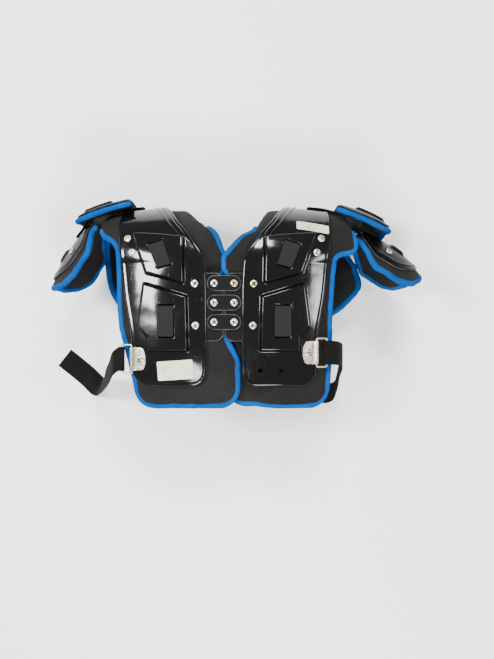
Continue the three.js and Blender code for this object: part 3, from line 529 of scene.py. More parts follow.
def edge_path(outline, inset, from_inner, from_outer, step=2.0):
    """Across and run of the line that goes down the inner edge, round the hem and up the outer edge."""
    foot = outline.foot
    down = np.linspace(from_inner, foot, max(2, int(abs(foot - from_inner) / step)))
    up = np.linspace(foot, from_outer, max(2, int(abs(foot - from_outer) / step)))
    turn = np.linspace(0, np.pi / 2, 14)[1:]
    inner, outer = outline.edges(np.array([foot]))
    reach = outline.corner - inset
    first_x = inner[0] + outline.corner - reach * np.cos(turn)
    last_x = outer[0] - outline.corner + reach * np.cos(turn)
    turn_run = foot + outline.toward * reach * np.sin(turn)
    hem_x = np.linspace(first_x[-1], last_x[-1], max(3, int(abs(last_x[-1] - first_x[-1]) / step)))[1:-1]
    x = np.concatenate([outline.sides(down, inset)[0], first_x, hem_x, last_x[::-1],
                        outline.sides(up, inset)[1][1:]])
    run = np.concatenate([down, turn_run, np.full(len(hem_x), turn_run[-1]), turn_run[::-1], up[1:]])
    return x, run


def length_along(points):
    return np.concatenate([[0], np.cumsum(np.linalg.norm(np.diff(points, axis=0), axis=1))])


def carry(profile, centre, across, up):
    """The rings of a profile (across, up) carried along a path."""
    return centre[:, None] + profile[..., 0:1] * across[:, None] + profile[..., 1:2] * up[:, None]


def end_caps(rings, centre, thick, onward):
    """Open ends, each closed by three rings that shrink to a point. It stands out by the tape's thickness."""
    caps = []
    for k, near in ((0, 1), (-1, -2)):
        away = np.sign(np.dot(centre[k] - centre[near], onward[k])) * onward[k] * thick[k]
        caps.append([centre[k] + (rings[k] - centre[k]) * scale + away * out
                     for scale, out in ((0.72, 0.5), (0.3, 0.85), (0.0, 1.0))])
    return np.concatenate([caps[0][::-1], rings, caps[1]])


def rings_piece(name, rings, flat, finish, fields=None, closed=False):
    """Rings of points joined one after another. Points that lie on each other are joined, and the faces that
    shrink to a line at a pole are dropped."""
    index = np.arange(rings[..., 0].size).reshape(rings.shape[:2])
    index = np.concatenate([index, index[:, :1]], axis=1)
    if closed:
        index = np.concatenate([index, index[:1]], axis=0)
    piece = solid(name, rings.reshape(-1, 3), quads(index), flat, finish, fields)
    work = bmesh.new()
    work.from_mesh(piece.data)
    bmesh.ops.remove_doubles(work, verts=work.verts, dist=1e-6)
    bmesh.ops.dissolve_degenerate(work, edges=work.edges, dist=1e-7)
    bmesh.ops.recalc_face_normals(work, faces=work.faces)
    work.to_mesh(piece.data)
    work.free()
    return piece


def tube(name, rings, girth, finish, closed=False):
    """Rings as an object, with a cut that runs round each of them and along their middles."""
    flat = np.stack(np.meshgrid(np.linspace(0, girth, rings.shape[1]), length_along(rings.mean(1))), -1)
    return rings_piece(name, rings, flat.reshape(-1, 2), finish, closed=closed)


def tape_profile(wide, thick, count=20):
    """A closed oval with blunt sides: each axis is a cosine or sine drawn to its 0.75th power."""
    angle = np.linspace(0, 2 * np.pi, count, endpoint=False)
    a, b = np.cos(angle), np.sin(angle)
    return np.stack([wide * np.sign(a) * np.abs(a) ** 0.75, thick * np.sign(b) * np.abs(b) ** 0.75], -1)


def bind(name, node, surface, x, run, middle, wide, thick, pucker, seed):
    """The tape rolled round an edge. Along its length it swells, narrows and sways a little, by a sum of
    three sines, as sewn tape does."""
    up = normal_of(surface, x, run)
    centre = surface(x, run) + up * np.asarray(middle)[..., None]
    across = unit(np.cross(np.gradient(centre, axis=0), up))
    length = length_along(centre)
    wave = (np.sin(length / 2.35 + seed) * 0.5 + np.sin(length / 4.1 + 2.1 * seed) * 0.8
            + np.sin(length / 9.7 + 0.7 * seed))
    centre = centre + across * (pucker * wide * 1.4 * np.roll(wave, 3))[:, None]
    size = np.stack([wide * (1 + pucker * wave), thick * (1 + 0.5 * pucker * wave)], -1)
    profile = tape_profile(1, 1)[None] * size[:, None]
    rings = end_caps(carry(profile, centre, across, up), centre, np.abs(profile[..., 1]).max(axis=1),
                     np.cross(up, across))
    fit(tube(name, rings, np.abs(profile).max() * 6, blue), node)


for name, side in sides.items():
    for place, outline in pad_outlines[name].items():
        x, run = edge_path(outline, binding_width / 2, *binding_starts[place])
        bind(f"{place}_binding_tape_{name}", f"{place}_binding_{name}", body_surface, x * side, run,
             pad_middle - pad_sink(x, run, side), binding_width / 2 + 0.2, pad_thickness / 2 + 0.1, 0.022,
             1.3 + side)


# Shells. Each side is one moulded sheet of 3.2 mm black plastic that goes from the back over the shoulder to
# the front. Two raised panels stiffen the back, each with a pair of slots for the webbing, and two ribs
# run over the shoulder. The rim is worn pale and the gloss is scratched.
plate_rows = [(-1.3, 0.162, 0.83), (-0.6, 0.162, 0.868), (-0.25, 0.164, 0.93), (0, 0.18, 0.96),
              (0.15, 0.335, 0.988), (0.25, 0.45, 1), (0.5, 0.58, 0.99), (0.75, 0.47, 0.99), (1, 0.26, 0.94),
              (1.3, 0.153, 0.88), (2.1, 0.141, 0.82)]
plate_round = 24.0
boss_height = 7.0
boss_flank = 4.2
raised_panels = {
    "upper": [(0.383, 0.197), (0.376, -0.158), (0.703, -0.078), (0.834, 0.268)],
    "lower": [(0.351, -0.282), (0.345, -0.5), (0.342, -0.62), (0.339, -0.705), (0.68, -0.707), (0.68, -0.601),
              (0.775, -0.518), (0.726, -0.18)],
}
window_corners = {
    "upper": [(0.547, 0.163), (0.684, 0.132), (0.606, -0.037), (0.478, -0.008)],
    "lower": [(0.4535, -0.363), (0.6, -0.363), (0.6, -0.591), (0.4535, -0.591)],
}
slot_width = 3.4
rib_height = 1.8
rib_width = 4.5
rib_pitch = 9.0
rib_inset = 7.0
vent_holes = [(0.331, -0.874), (0.522, -0.874)]
vent_radius = 3.5


def polygon_distance(corners, x, run):
    """The distance from each point to a polygon, negative inside: the least distance to its sides, with the
    sign from the number of sides crossed."""
    best = np.full(x.shape, 1e9)
    inside = np.zeros(x.shape, bool)
    for (ax, ay), (bx, by) in zip(corners, np.roll(corners, -1, axis=0)):
        dx, dy = bx - ax, by - ay
        share = np.clip(((x - ax) * dx + (run - ay) * dy) / (dx ** 2 + dy ** 2), 0, 1)
        best = np.minimum(best, np.hypot(x - ax - share * dx, run - ay - share * dy))
        crosses = (ay > run) != (by > run)
        reach = ax + (run - ay) * dx / (dy or 1e-9)
        inside ^= crosses & (x < reach)
    return np.where(inside, -best, best)


def scaled(corners):
    return np.array(corners) * (plate_breadth, back_length)


def boss(x, run):
    """7 mm on a raised panel, falling to the sheet over a 4 mm flank with a soft foot."""
    height = np.zeros(x.shape)
    for corners in raised_panels.values():
        distance = polygon_distance(scaled(corners), x, run)
        height = np.maximum(height, boss_height * (1 - smoothstep(distance, -0.6, boss_flank)))
    return height


def slots(x, run):
    """1 in the slots above and below each window, 0 elsewhere."""
    cut = np.zeros(x.shape)
    for corners in window_corners.values():
        a, b, c, d = scaled(corners)
        down = (d - a) / np.linalg.norm(d - a)
        for left, right, way in ((a, b, -down), (d, c, down)):
            box = [left, right, right + way * slot_width, left + way * slot_width]
            cut = np.maximum(cut, 1 - smoothstep(polygon_distance(np.array(box), x, run), -0.7, 0.5))
    return cut


plate_outline = Outline(plate_rows, arch_run + front_length, -back_length, plate_round)
gloss = Finish("gloss_plastic", Specular_IOR_Level=0.4)
scratch = gloss.patches(0.64, 0.74, 1.0, 5.0, 0.65, gloss.place((420, 30, 60), 0.9))
scuff = gloss.patches(0.65, 0.76, 1.0, 5.0, 0.65, gloss.place((26, 360, 60), -0.5))
haze = gloss.patches(0.48, 0.72, 16.0, 5.0, 0.6)
speck = gloss.patches(0.70, 0.76, 160.0, 3.0)
worn = gloss.step(gloss.attribute("wear") + gloss.noise(70.0, 4.0) * 0.7, 0.95, 1.3)
marks = gloss.step((scratch + scuff) * 0.5 + worn * 1.4 + speck * 0.5, 0.1, 1.6)
gloss.lay("Base Color", gloss.blend(marks, (0.0018, 0.0019, 0.0021), (0.085, 0.082, 0.077)))
gloss.lay("Alpha", 1 - gloss.step(gloss.attribute("vent"), 0.47, 0.53))
gloss.lay("Roughness", gloss.step(marks + haze * 0.45, 0.0, 1.6) * 0.46 + 0.11)
gloss_wave = gloss.bump(gloss.noise(13.0, 2.0, 0.4), 0.0045, 0.5)
gloss.lay("Normal", gloss.bump(scratch + scuff, 0.0001, 0.5, gloss_wave))


def plate_grid():
    """Close rows down the back, where the panels are, and wider ones over the shoulder and down the front."""
    foot = arch_run + front_length - plate_round
    back_turn = np.linspace(0, np.pi / 2, 15)[1:]
    runs = np.concatenate([foot + plate_round * np.linspace(1, 0, 7)[:-1], np.linspace(foot, 62, 84),
                           np.linspace(62, plate_round - back_length, 214)[1:],
                           plate_round * (1 - np.sin(back_turn)) - back_length])
    inner, outer = plate_outline.sides(runs)
    draw = corner_draw(np.maximum(0, runs - foot), plate_round)
    return spread(runs, inner + draw, outer - draw, (0.0, 0.25, 0.75, 1.6, 2.8), 104)


def plate_depth(x, run):
    """The distance in from the rim, with the front hem's corners as well."""
    inner, outer = plate_outline.edges(run)
    front = corner_depth(np.minimum(x - inner, outer - x), arch_run + front_length - run, plate_round)
    return np.maximum(0, np.minimum(front, plate_outline.depth(x, run)))


for name, side in sides.items():
    x, run = plate_grid()
    depth = plate_depth(x, run)
    rim = rounded(depth, plate_wall / 2)
    lip = 0.5 * np.exp(-((depth - 3.0) / 1.8) ** 2)
    rise = boss(x, run)
    edge_line = plate_outline.edges(run)[0]
    rib_share = smoothstep(run, 30, 52) * (1 - smoothstep(run, 140, 156))
    for place in (0, 1):
        off = np.abs(x - edge_line - rib_inset - place * rib_pitch - rib_width / 2)
        rise = rise + rib_height * rib_share * (1 - smoothstep(off, 1.0, 3.2))
    cut = slots(x, run)
    vent = cut.copy()
    if side > 0:
        for across, down in vent_holes:
            away = np.hypot(x - across * plate_breadth, run - down * back_length)
            vent = np.maximum(vent, 1 - away / (2 * vent_radius))
    top = (plate_wall / 2 * rim + lip * rim + rise) * (1 - cut) - cut
    slope_y, slope_x = np.gradient(rise)
    crease = np.clip(np.hypot(np.gradient(slope_x, axis=1), np.gradient(slope_y, axis=0)) * 1.3, 0, 1)
    wear = np.clip(np.exp(-depth / 0.9) + 0.35 * crease, 0, 1)
    plate = layered(f"body_shell_{name}", body_surface, x * side, run, top, -plate_wall / 2 * rim, gloss,
                    (x, run), {"wear": wear, "vent": vent})
    fit(plate, f"body_plate_{name}")


# Window webbing. A 25 mm black webbing comes up through one slot of each panel and goes down the other, and
# holds the pad to the shell.
web = Finish("webbing", Roughness=0.8, Sheen_Weight=0.03, Specular_IOR_Level=0.14)
web_rib = weave(web, 0.0021)
web.lay("Base Color", web.blend(web.step(web_rib, -0.6, 0.8), (0.0085, 0.0085, 0.0085),
                                (0.017, 0.017, 0.017)))
web.lay("Normal", web.bump(web_rib, 0.0004, 0.9, web.bump(web.noise(60.0, 3.0), 0.0008, 0.4)))
web_wall = 1.6
web_seat = 0.8
web_dive = 0.75 * slot_width

for name, side in sides.items():
    for place, corners in window_corners.items():
        a, b, c, d = scaled(corners)
        width = np.linalg.norm(b - a)
        length = np.linalg.norm((d + c) / 2 - (a + b) / 2)
        reach = web_dive / length
        down = np.linspace(-reach, 1 + reach, 46)[:, None]
        across = np.concatenate([[0, 0.012, 0.04], np.linspace(0.04, 0.96, 22)[1:-1], [0.96, 0.988, 1]])[None]
        far, wide = down[..., None], across[..., None]
        spot = (a * (1 - wide) + b * wide) * (1 - far) + (d * (1 - wide) + c * wide) * far
        past = np.maximum(np.maximum(-down, down - 1), 0) * length / web_dive + 0 * across
        height = plate_wall / 2 + boss_height + web_seat + 0.5 * np.sin(np.pi * np.clip(down, 0, 1))
        height = height - (boss_height + 1.6) * (1 - np.sqrt(np.clip(1 - past ** 2, 0, 1))) + web_wall / 2
        near = np.minimum(np.minimum(across, 1 - across) * width,
                          np.minimum(down + reach, 1 + reach - down) * length)
        half = web_wall / 2 * rounded(near, 0.8)
        band = layered(f"window_webbing_{place}_{name}", body_surface, spot[..., 0] * side, spot[..., 1],
                       height + half, height - half, web,
                       np.broadcast_arrays(across * width, down * length))
        fit(band, f"webbing_{place}_{name}")


# Spine hinge. An ear of grained black plastic is riveted under each shell, and three oval links lace the two
# ears together. Their rims are scuffed pale.
ear_wall = 2.4
ear_inner = 0.4
ear_outer = 55.0
ear_top = -16.0
ear_length = 108.0
ear_round = 13.0
link_length = 54.0
link_height = 26.0
link_wall = 3.0
link_pitch = 30.2
link_first = -33.0
link_rivet_spacing = 31.0
clearance = 0.3
back_top = plate_wall / 2 + body_depth
ear_floor = back_top - plate_wall / 2 - clearance - ear_wall
link_floor = ear_floor + ear_wall + clearance

grain = Finish("grained_plastic", Specular_IOR_Level=0.12)
grain_marks = grain.step(grain.attribute("wear") * 1.1 + grain.noise(120.0, 4.0) * 0.8, 0.95, 1.35)
grain_dust = grain.patches(0.6, 0.75, 240.0, 3.0)
grain.lay("Base Color", grain.blend(grain.step(grain_marks + grain_dust * 0.12, 0.0, 1.0),
                                    (0.0018, 0.0018, 0.0019), (0.06, 0.058, 0.056)))
grain.lay("Roughness", grain.noise(60.0, 3.0) * 0.25 + 0.4)
grain_wave = grain.bump(grain.noise(30.0), 0.0012, 0.3)
grain.lay("Normal", grain.bump(grain.noise(900.0, 2.0), 0.00018, 0.7, grain_wave))


def rounded_plate(name, centre, half_x, half_y, corner, floor, wall, node, finish, bead=0.35):
    """A flat plate with round corners: a rounded rectangle drawn in, ring by ring, with a round rim of half
    its wall and a bead beside it."""
    least = min(half_x, half_y)
    rings = np.concatenate([[0, 0.2, 0.5, 1.0, 1.6, 2.4], np.linspace(3.4, least, 7)])[::-1]
    angle = np.linspace(0, 2 * np.pi, 96, endpoint=False)
    swing = np.stack([np.cos(angle), np.sin(angle)], -1)
    hull = np.clip(swing * 1e3, -1, 1) * (half_x - corner, half_y - corner) + swing * corner
    points = hull * (1 - rings[:, None, None] / (half_x, half_y)) + centre
    rim = wall / 2 * rounded(rings, wall / 2)
    rise = rim + bead * np.exp(-((rings - 1.9) / 0.8) ** 2)

    def at(height):
        level = np.repeat((floor + wall / 2 + height)[:, None, None], len(angle), 1)
        return np.concatenate([points, level], -1)

    layers = np.concatenate([at(rise), at(-rim)[::-1][1:]])
    all_rings = np.concatenate([rings, rings[::-1][1:]])
    wear = np.repeat(np.exp(-np.abs(all_rings - 1.2) / 1.1)[:, None], len(angle), 1).ravel()
    piece = rings_piece(name, layers, layers.reshape(-1, 3)[:, :2], finish, {"wear": wear})
    return fit(piece, node)


for name, side in sides.items():
    rounded_plate(f"spine_ear_{name}", (side * (ear_inner + ear_outer) / 2, ear_top - ear_length / 2),
                  (ear_outer - ear_inner) / 2, ear_length / 2, ear_round, ear_floor, ear_wall,
                  f"hinge_ear_{name}", grain, 0.25)
for k, place in enumerate(("upper", "middle", "lower")):
    rounded_plate(f"spine_link_{place}", (0, link_first - k * link_pitch), link_length / 2, link_height / 2,
                  link_height / 2 - 1, link_floor, link_wall, f"hinge_link_{place}", grain)


# Rivets. Nickel-plated rivets, 11.6 mm across, with a cross or one slot pressed into the dome. The plating
# of a few has turned brassy.
rivet_head = 11.6
rivet_dome = 2.2
cross_width = 0.8
cross_depth = 1.15
cross_ends = (3.2, 4.4)


def nickel(name, tint):
    metal = Finish(name, Metallic=1.0, Specular_IOR_Level=0.5)
    colour = metal.blend(metal.patches(0.35, 0.7, 90.0, 4.0), tint, tuple(0.72 * c for c in tint))
    stain = metal.patches(0.52, 0.72, 300.0, 3.0)
    # Random stains, and painted shade in the pressed cross or slot, darken the plating towards near black.
    stain_and_groove_shade = metal.step(stain * 0.55 + metal.attribute("groove") * 1.1, 0.0, 1.0)
    metal.lay("Base Color", metal.blend(stain_and_groove_shade, colour, tuple(0.06 * c for c in tint)))
    metal.lay("Roughness", metal.noise(200.0, 3.0) * 0.3 + 0.16)
    metal.lay("Normal", metal.bump(metal.noise(500.0, 2.0), 0.00008, 0.6))
    return metal


bright_nickel = nickel("bright_nickel", (0.78, 0.76, 0.70))
brass_nickel = nickel("brassy_nickel", (0.80, 0.62, 0.38))


def stand_on(surface, x, run, height):
    """The place on a surface and the three directions there: across, up the body and out."""
    up = normal_of(surface, x, run)
    across = unit(surface(x + 1, run) - surface(x - 1, run))
    return surface(x, run) + up * height, np.stack([across, np.cross(up, across), up])


def rivet(name, place, basis, node, slotted=False, finish=bright_nickel, turn=0.4):
    """A dome turned about its axis, height falling with the square of the radius, less a cross or one slot
    pressed into it."""
    head = rivet_head / 2
    radii = np.concatenate([np.linspace(0, 0.86, 15), [0.92, 0.97, 1.0, 1.0, 0.96]]) * head
    angle = np.linspace(0, 2 * np.pi, 48, endpoint=False)
    radius, swing = np.meshgrid(radii, angle, indexing="ij")
    dome = rivet_dome * (1 - (radius / head) ** 2) ** 0.55 * 0.82 + 0.18 * rivet_dome
    spread_x, spread_y = radius * np.cos(swing), radius * np.sin(swing)
    bar, crossed = (np.exp(-(aside / cross_width) ** 2) * (1 - smoothstep(np.abs(on), *cross_ends))
                    for aside, on in ((spread_y, spread_x), (spread_x, spread_y)))
    if not slotted:
        bar = np.maximum(bar, crossed)
    z = dome - cross_depth * bar
    z[-2], z[-1] = 0.1, 0.0
    local = np.stack([radius * np.cos(swing + turn), radius * np.sin(swing + turn), z], -1)
    floor = [(local[-1] * (share, share, 1))[None] - (0, 0, 0.05) for share in (0.5, 0)]
    local = np.concatenate([local, *floor])
    # The pressed cross or slot, which the metal's colour darkens as painted shade.
    groove = np.concatenate([bar, np.zeros((2, len(angle)))]).ravel()
    piece = rings_piece(name, place + local @ basis, local.reshape(-1, 3)[:, :2], finish, {"groove": groove})
    return fit(piece, node)


plate_rivets = {"shoulder_outer": (0.9, 0.24), "shoulder_inner": (0.855, 0.1), "ear_upper": (0.27, -0.174),
                "ear_lower": (0.262, -0.511)}
for name, side in sides.items():
    for k, (which, (across, run)) in enumerate(plate_rivets.items()):
        place, basis = stand_on(body_surface, side * across * plate_breadth, run * back_length,
                                plate_wall / 2 + clearance)
        metal = brass_nickel if (which, name) == ("ear_upper", "right") else bright_nickel
        rivet(f"rivet_dome_{which}_{name}", place, basis, f"rivet_{which}_{name}",
              which.startswith("shoulder"), metal, 0.3 + k)
    for k, row in enumerate(("upper", "middle", "lower")):
        place = np.array([side * link_rivet_spacing / 2, link_first - k * link_pitch,
                          link_floor + link_wall + clearance])
        metal = brass_nickel if (row, name) == ("upper", "right") else bright_nickel
        rivet(f"rivet_dome_link_{row}_{name}", place, np.eye(3), f"rivet_link_{row}_{name}", False, metal,
              0.2 + 0.9 * k + side)


# Flaps. Each shoulder has a top flap over its cap and a larger one over the upper arm: a domed plastic shell
# with a raised cap, on a bound pad. They hang on webbing from the body shell.
flap_wall = 2.6
flap_pad = 8.0
flap_seat = 1.2
flap_pad_middle = -flap_wall / 2 - flap_seat - flap_pad / 2
flap_rivet_across = 42.0
flap_rivet_down = 48.0
bead_inset = 7.0
bead_rise = 1.1
flaps = {
    "epaulet": {
        "length": 98.0, "half_width": 64.0, "round": 34.0, "margin": 6.0, "pad_end": 0.0,
        "cap": (0.3, 0.8, 0.5, 5.0), "bead": 0.0,
        "rows": [(0, 0.86), (0.4, 1), (1, 0.94)],
        "left": (0.9294, 11.5, 11.0, 10.0, 14.0), "right": (1.1059, 4.0, 13.0, 14.0, 20.0),
    },
    "arm_flap": {
        "length": 122.0, "half_width": 75.0, "round": 56.0, "margin": 14.0, "pad_end": 8.0,
        "cap": (0.42, 0.62, 0.32, 4.0), "bead": 1.0,
        "rows": [(0, 0.62), (0.3, 1), (0.6, 1), (1, 0.85)],
        "left": (1.3647, -31.0, 50.0, 42.0, 17.0), "right": (1.3529, -41.0, 20.0, 56.0, 34.0),
    },
}


flap_skin = Finish("flap_plastic", Specular_IOR_Level=0.07)
flap_worn = flap_skin.step(flap_skin.attribute("wear") + flap_skin.noise(70.0, 4.0) * 0.7, 0.95, 1.35)
flap_rub = flap_skin.patches(0.62, 0.76, 1.0, 5.0, 0.65, flap_skin.place((60, 300, 60), 0.7))
flap_marks = flap_skin.step(flap_worn * 1.2 + flap_rub * 0.3, 0.0, 1.5)
flap_skin.lay("Base Color", flap_skin.blend(flap_marks, (0.0022, 0.0022, 0.0021), (0.075, 0.072, 0.067)))
flap_skin.lay("Roughness", flap_skin.noise(24.0, 4.0) * 0.3 + 0.16)
flap_skin.lay("Normal", flap_skin.bump(flap_skin.noise(16.0, 2.0, 0.4), 0.003, 0.4))


def flap_surface(flap, name, side):
    """A plane that falls from its hinge by the tilt, sunk by the square of the distance from its middle line
    and by the square of the distance from the hinge. run is 0 at the hinge and negative to the hem."""
    share, hinge_rise, tilt, crown, bend = flap[name]
    tilt = np.radians(tilt)
    fall = np.array([side * np.cos(tilt), -np.sin(tilt), 0])
    out = np.array([side * np.sin(tilt), np.cos(tilt), 0])
    hinge = np.array([side * share * plate_breadth, arch_reach + hinge_rise, plate_wall / 2 + body_depth / 2])

    def surface(x, run):
        x, run = np.broadcast_arrays(np.asarray(x, float), np.asarray(run, float))
        sink = crown * (x / flap["half_width"]) ** 2 + bend * (run / flap["length"]) ** 2
        return hinge + fall * -run[..., None] - out * sink[..., None] + np.array([0, 0, -side]) * x[..., None]

    return surface


def flap_outline(flap, margin, top=0.0):
    rows = [(s, -w, w) for s, w in flap["rows"]]
    return Outline(rows, top, margin - flap["length"], flap["round"], flap["half_width"] - margin,
                   lambda s: -s * (flap["length"] - margin))


for name, side in sides.items():
    for kind, flap in flaps.items():
        surface = flap_surface(flap, name, side)
        outline = flap_outline(flap, flap["margin"])
        x, run = panel_grid(outline, 46, 60, 0.0, (0.0, 0.25, 0.7, 1.3, 2.4))
        depth = np.minimum(outline.depth(x, run), np.abs(run))
        rim = flap_wall / 2 * rounded(depth, flap_wall / 2)
        start, end, half, rise = flap["cap"]
        length, wide = flap["length"], half * flap["half_width"]
        cap_corners = np.array([(-wide, -start * length), (wide, -start * length), (wide, -end * length),
                                (-wide, -end * length)])
        cap = rise * (1 - smoothstep(polygon_distance(cap_corners, x, run), -3.5, 3.0))
        bead = flap["bead"] * bead_rise * np.exp(-((depth - bead_inset) / 1.5) ** 2)
        wear = np.exp(-depth) + flap["bead"] * 0.5 * np.exp(-(depth - bead_inset) ** 2)
        shell = layered(f"{kind}_cap_{name}", surface, x, run, rim + cap + bead, -rim, flap_skin, (x, run),
                        {"wear": np.clip(wear, 0, 1)})
        fit(shell, f"{kind}_shell_{name}")

        pad_end = flap["pad_end"]
        outline = flap_outline(flap, 0.0, pad_end)
        soft_pad(f"{kind}_pad_soft_{name}", f"{kind}_pad_{name}", surface, 1.0, outline,
                 (30, 24, pad_inset, (0.0, 1.2, 3.4, 6.5)), flap_pad / 2 - 0.5, 5, 1.0,
                 lambda x, run: np.full(x.shape, flap_pad_middle), 3.0, 0.001)
        x, run = edge_path(outline, binding_width / 2, pad_end - 0.5, pad_end - 0.5)
        bind(f"{kind}_binding_tape_{name}", f"{kind}_binding_{name}", surface, x, run,
             np.full(x.shape, flap_pad_middle), binding_width / 2 + 0.2, flap_pad / 2 + 0.3, 0.075,
             2.7 * side)
    place, basis = stand_on(flap_surface(flaps["arm_flap"], name, side), -side * flap_rivet_across,
                            -flap_rivet_down, flap_wall / 2 + clearance)
    rivet(f"rivet_dome_arm_flap_{name}", place, basis, f"rivet_arm_flap_{name}",
          finish=brass_nickel if side < 0 else bright_nickel)


# Buckles. A strip of nickel-plated steel is folded round one bar of a wire ring and riveted to the shell. The
# strap loops round the ring's other bar.
clip_across = 0.765 * plate_breadth
clip_run = {"left": -0.782 * back_length, "right": -0.731 * back_length}
clip_inner = 8.5
clip_outer = 14.0
clip_height = 36.0
clip_wall = 1.2
clip_round = 9.0
ring_wire = 3.2
ring_length = 48.0
ring_reach = 17.0
ring_round = 3.0
bar_rise = clearance + clip_wall + ring_wire / 2 + 2 * clearance
satin_nickel = nickel("satin_nickel", (0.70, 0.655, 0.57))
warm_nickel = nickel("warm_nickel", (0.72, 0.60, 0.42))


def clip_line():
    """Along the lower leaf, round the ring's bar by over half a turn and back along the upper leaf."""
    low = clearance + clip_wall / 2
    radius = bar_rise - low
    turn = np.linspace(-np.pi / 2, np.pi * 0.62, 26)
    lower = np.stack([np.linspace(-clip_inner, clip_outer, 22), np.full(22, low)], -1)
    fold = np.stack([clip_outer + radius * np.cos(turn), bar_rise + radius * np.sin(turn)], -1)
    rest = clip_outer - 2 * bar_rise
    upper = np.stack([np.linspace(rest - 1.5, -clip_inner, 18), np.full(18, low + clip_wall)], -1)
    return np.concatenate([lower, fold[1:], [fold[-1] + (-1.4, -1.6), (rest, low + clip_wall)], upper])


def selvedge(wall, rows, reach, count):
    """Shares of half the width, closer towards both edges, and half the wall at each of them, which is round
    over the outer twentieth and shut at the first and the last row."""
    share = np.concatenate([[-1, -0.985, -0.95], np.linspace(-reach, reach, count), [0.95, 0.985, 1]])
    half = wall / 2 * np.sqrt(1 - np.clip((np.abs(share) - 0.95) / 0.05, 0, 1) ** 2)
    half = np.repeat(half[None], rows, 0)
    half[0] = half[-1] = 0
    return share, half[..., None]


for name, side in sides.items():
    place, basis = stand_on(body_surface, side * clip_across, clip_run[name], plate_wall / 2)
    line = clip_line()
    onward = unit(np.gradient(line, axis=0))
    out = np.stack([-onward[:, 1], onward[:, 0]], -1)
    end = np.clip((clip_round - clip_inner - line[:, 0]) / clip_round, 0, 1)
    half_width = (clip_height / 2) * np.sqrt(np.clip(1 - end ** 2, 0.02, 1))
    share, half = selvedge(clip_wall, len(line), 0.9, 15)
    y = half_width[:, None] * share[None]
    high, low = (place + np.stack([side * leaf[..., 0], y, leaf[..., 1]], -1) @ basis
                 for leaf in (line[:, None] + out[:, None] * half, line[:, None] - out[:, None] * half))
    clip = shell_mesh(f"clip_fold_{name}", high, low,
                      (y, np.repeat(np.arange(len(line))[:, None], len(share), 1)), satin_nickel)
    fit(clip, f"clip_{name}")
    rivet(f"rivet_dome_clip_{name}", place + basis[2] * 2 * (clearance + clip_wall), basis,
          f"rivet_clip_{name}", True, warm_nickel)

    half_y = (ring_length - ring_wire) / 2
    turn = np.linspace(0, np.pi / 2, 9)
    corners = []
    for quarter, (sign_x, sign_y) in enumerate(((1, 1), (-1, 1), (-1, -1), (1, -1))):
        angle = turn + quarter * np.pi / 2
        corners.append(np.stack([
            ring_reach / 2 + sign_x * (ring_reach / 2 - ring_round) + ring_round * np.cos(angle),
            sign_y * (half_y - ring_round) + ring_round * np.sin(angle), 0 * angle], -1))
    path = np.concatenate(corners)
    path = path * (side, 1, 1) + (side * clip_outer, 0, bar_rise)
    onward = np.roll(path, -1, 0) - np.roll(path, 1, 0)
    up = np.repeat([[0.0, 0.0, 1.0]], len(path), 0)
    angle = np.linspace(0, 2 * np.pi, 16, endpoint=False)
    profile = np.stack([np.cos(angle), np.sin(angle)], -1)[None] * ring_wire / 2
    rings = carry(profile, place + path @ basis, unit(np.cross(onward, up)) @ basis, up @ basis)
    ring = tube(f"ring_wire_{name}", rings, ring_wire * 3, warm_nickel, True)
    fit(ring, f"ring_{name}")


# Straps. A 38 mm black elastic strap loops round each ring and is sewn to itself. The left one lies free on
# the table, and the right one goes down and under the front. Each row of a route is a share of the plate
# breadth, the back length and the body depth, a height over the table, and the way across the strap.
strap_width = 38.0
strap_wall = 1.8
strap_routes = {
    "left": [(-1.035, -0.819, 0.911, 0, 0, 1, 0), (-1.106, -0.902, 0.772, 0, 0.05, 1, 0),
             (-1.206, -0.984, 0.535, 0, 0.15, 0.98, 0.1), (-1.288, -1.041, 0.307, 0, 0.3, 0.95, 0.1),
             (-1.359, -1.083, 0.109, 0, 0.45, 0.89, 0), (-1.418, -1.078, 0, 5, 0.6, 0.8, 0),
             (-1.541, -0.979, 0, 1.2, 0.62, 0.78, 0), (-1.776, -0.813, 0, 1.2, 0.62, 0.78, 0)],
    "right": [(1.041, -0.736, 0.921, 0, 0, 1, 0), (1.1, -0.756, 0.851, 0, 0, 1, 0),
             (1.129, -0.87, 0.569, 0, 0, 0.95, 0.3), (1.141, -1.026, 0.297, 0, 0, 0.93, 0.35),
             (1.124, -1.13, 0.109, 0, 0.1, 0.97, 0.2), (1.047, -1.15, 0, 4.5, 0.25, 0.97, 0),
             (0.941, -1.083, 0, 2.4, 0.35, 0.93, 0), (0.829, -0.984, 0, 5, 0.25, 0.97, 0),
             (0.741, -0.902, 0, 8, 0.05, 1, 0), (0.659, -0.86, 0, 6.1, 0, 1, 0)],
}
elastic = Finish("black_elastic", Roughness=0.88, Sheen_Weight=0.02, Specular_IOR_Level=0.08)
elastic.lay("Base Color", elastic.blend(elastic.patches(0.3, 0.7, 14.0, 4.0),
                                        (0.0035, 0.0033, 0.0032), (0.0075, 0.0072, 0.007)))
elastic.lay("Normal", elastic.bump(weave(elastic, 0.0013), 0.0002, 0.7,
                                   elastic.bump(weave(elastic, 0.0024, 1), 0.00035, 0.7)))


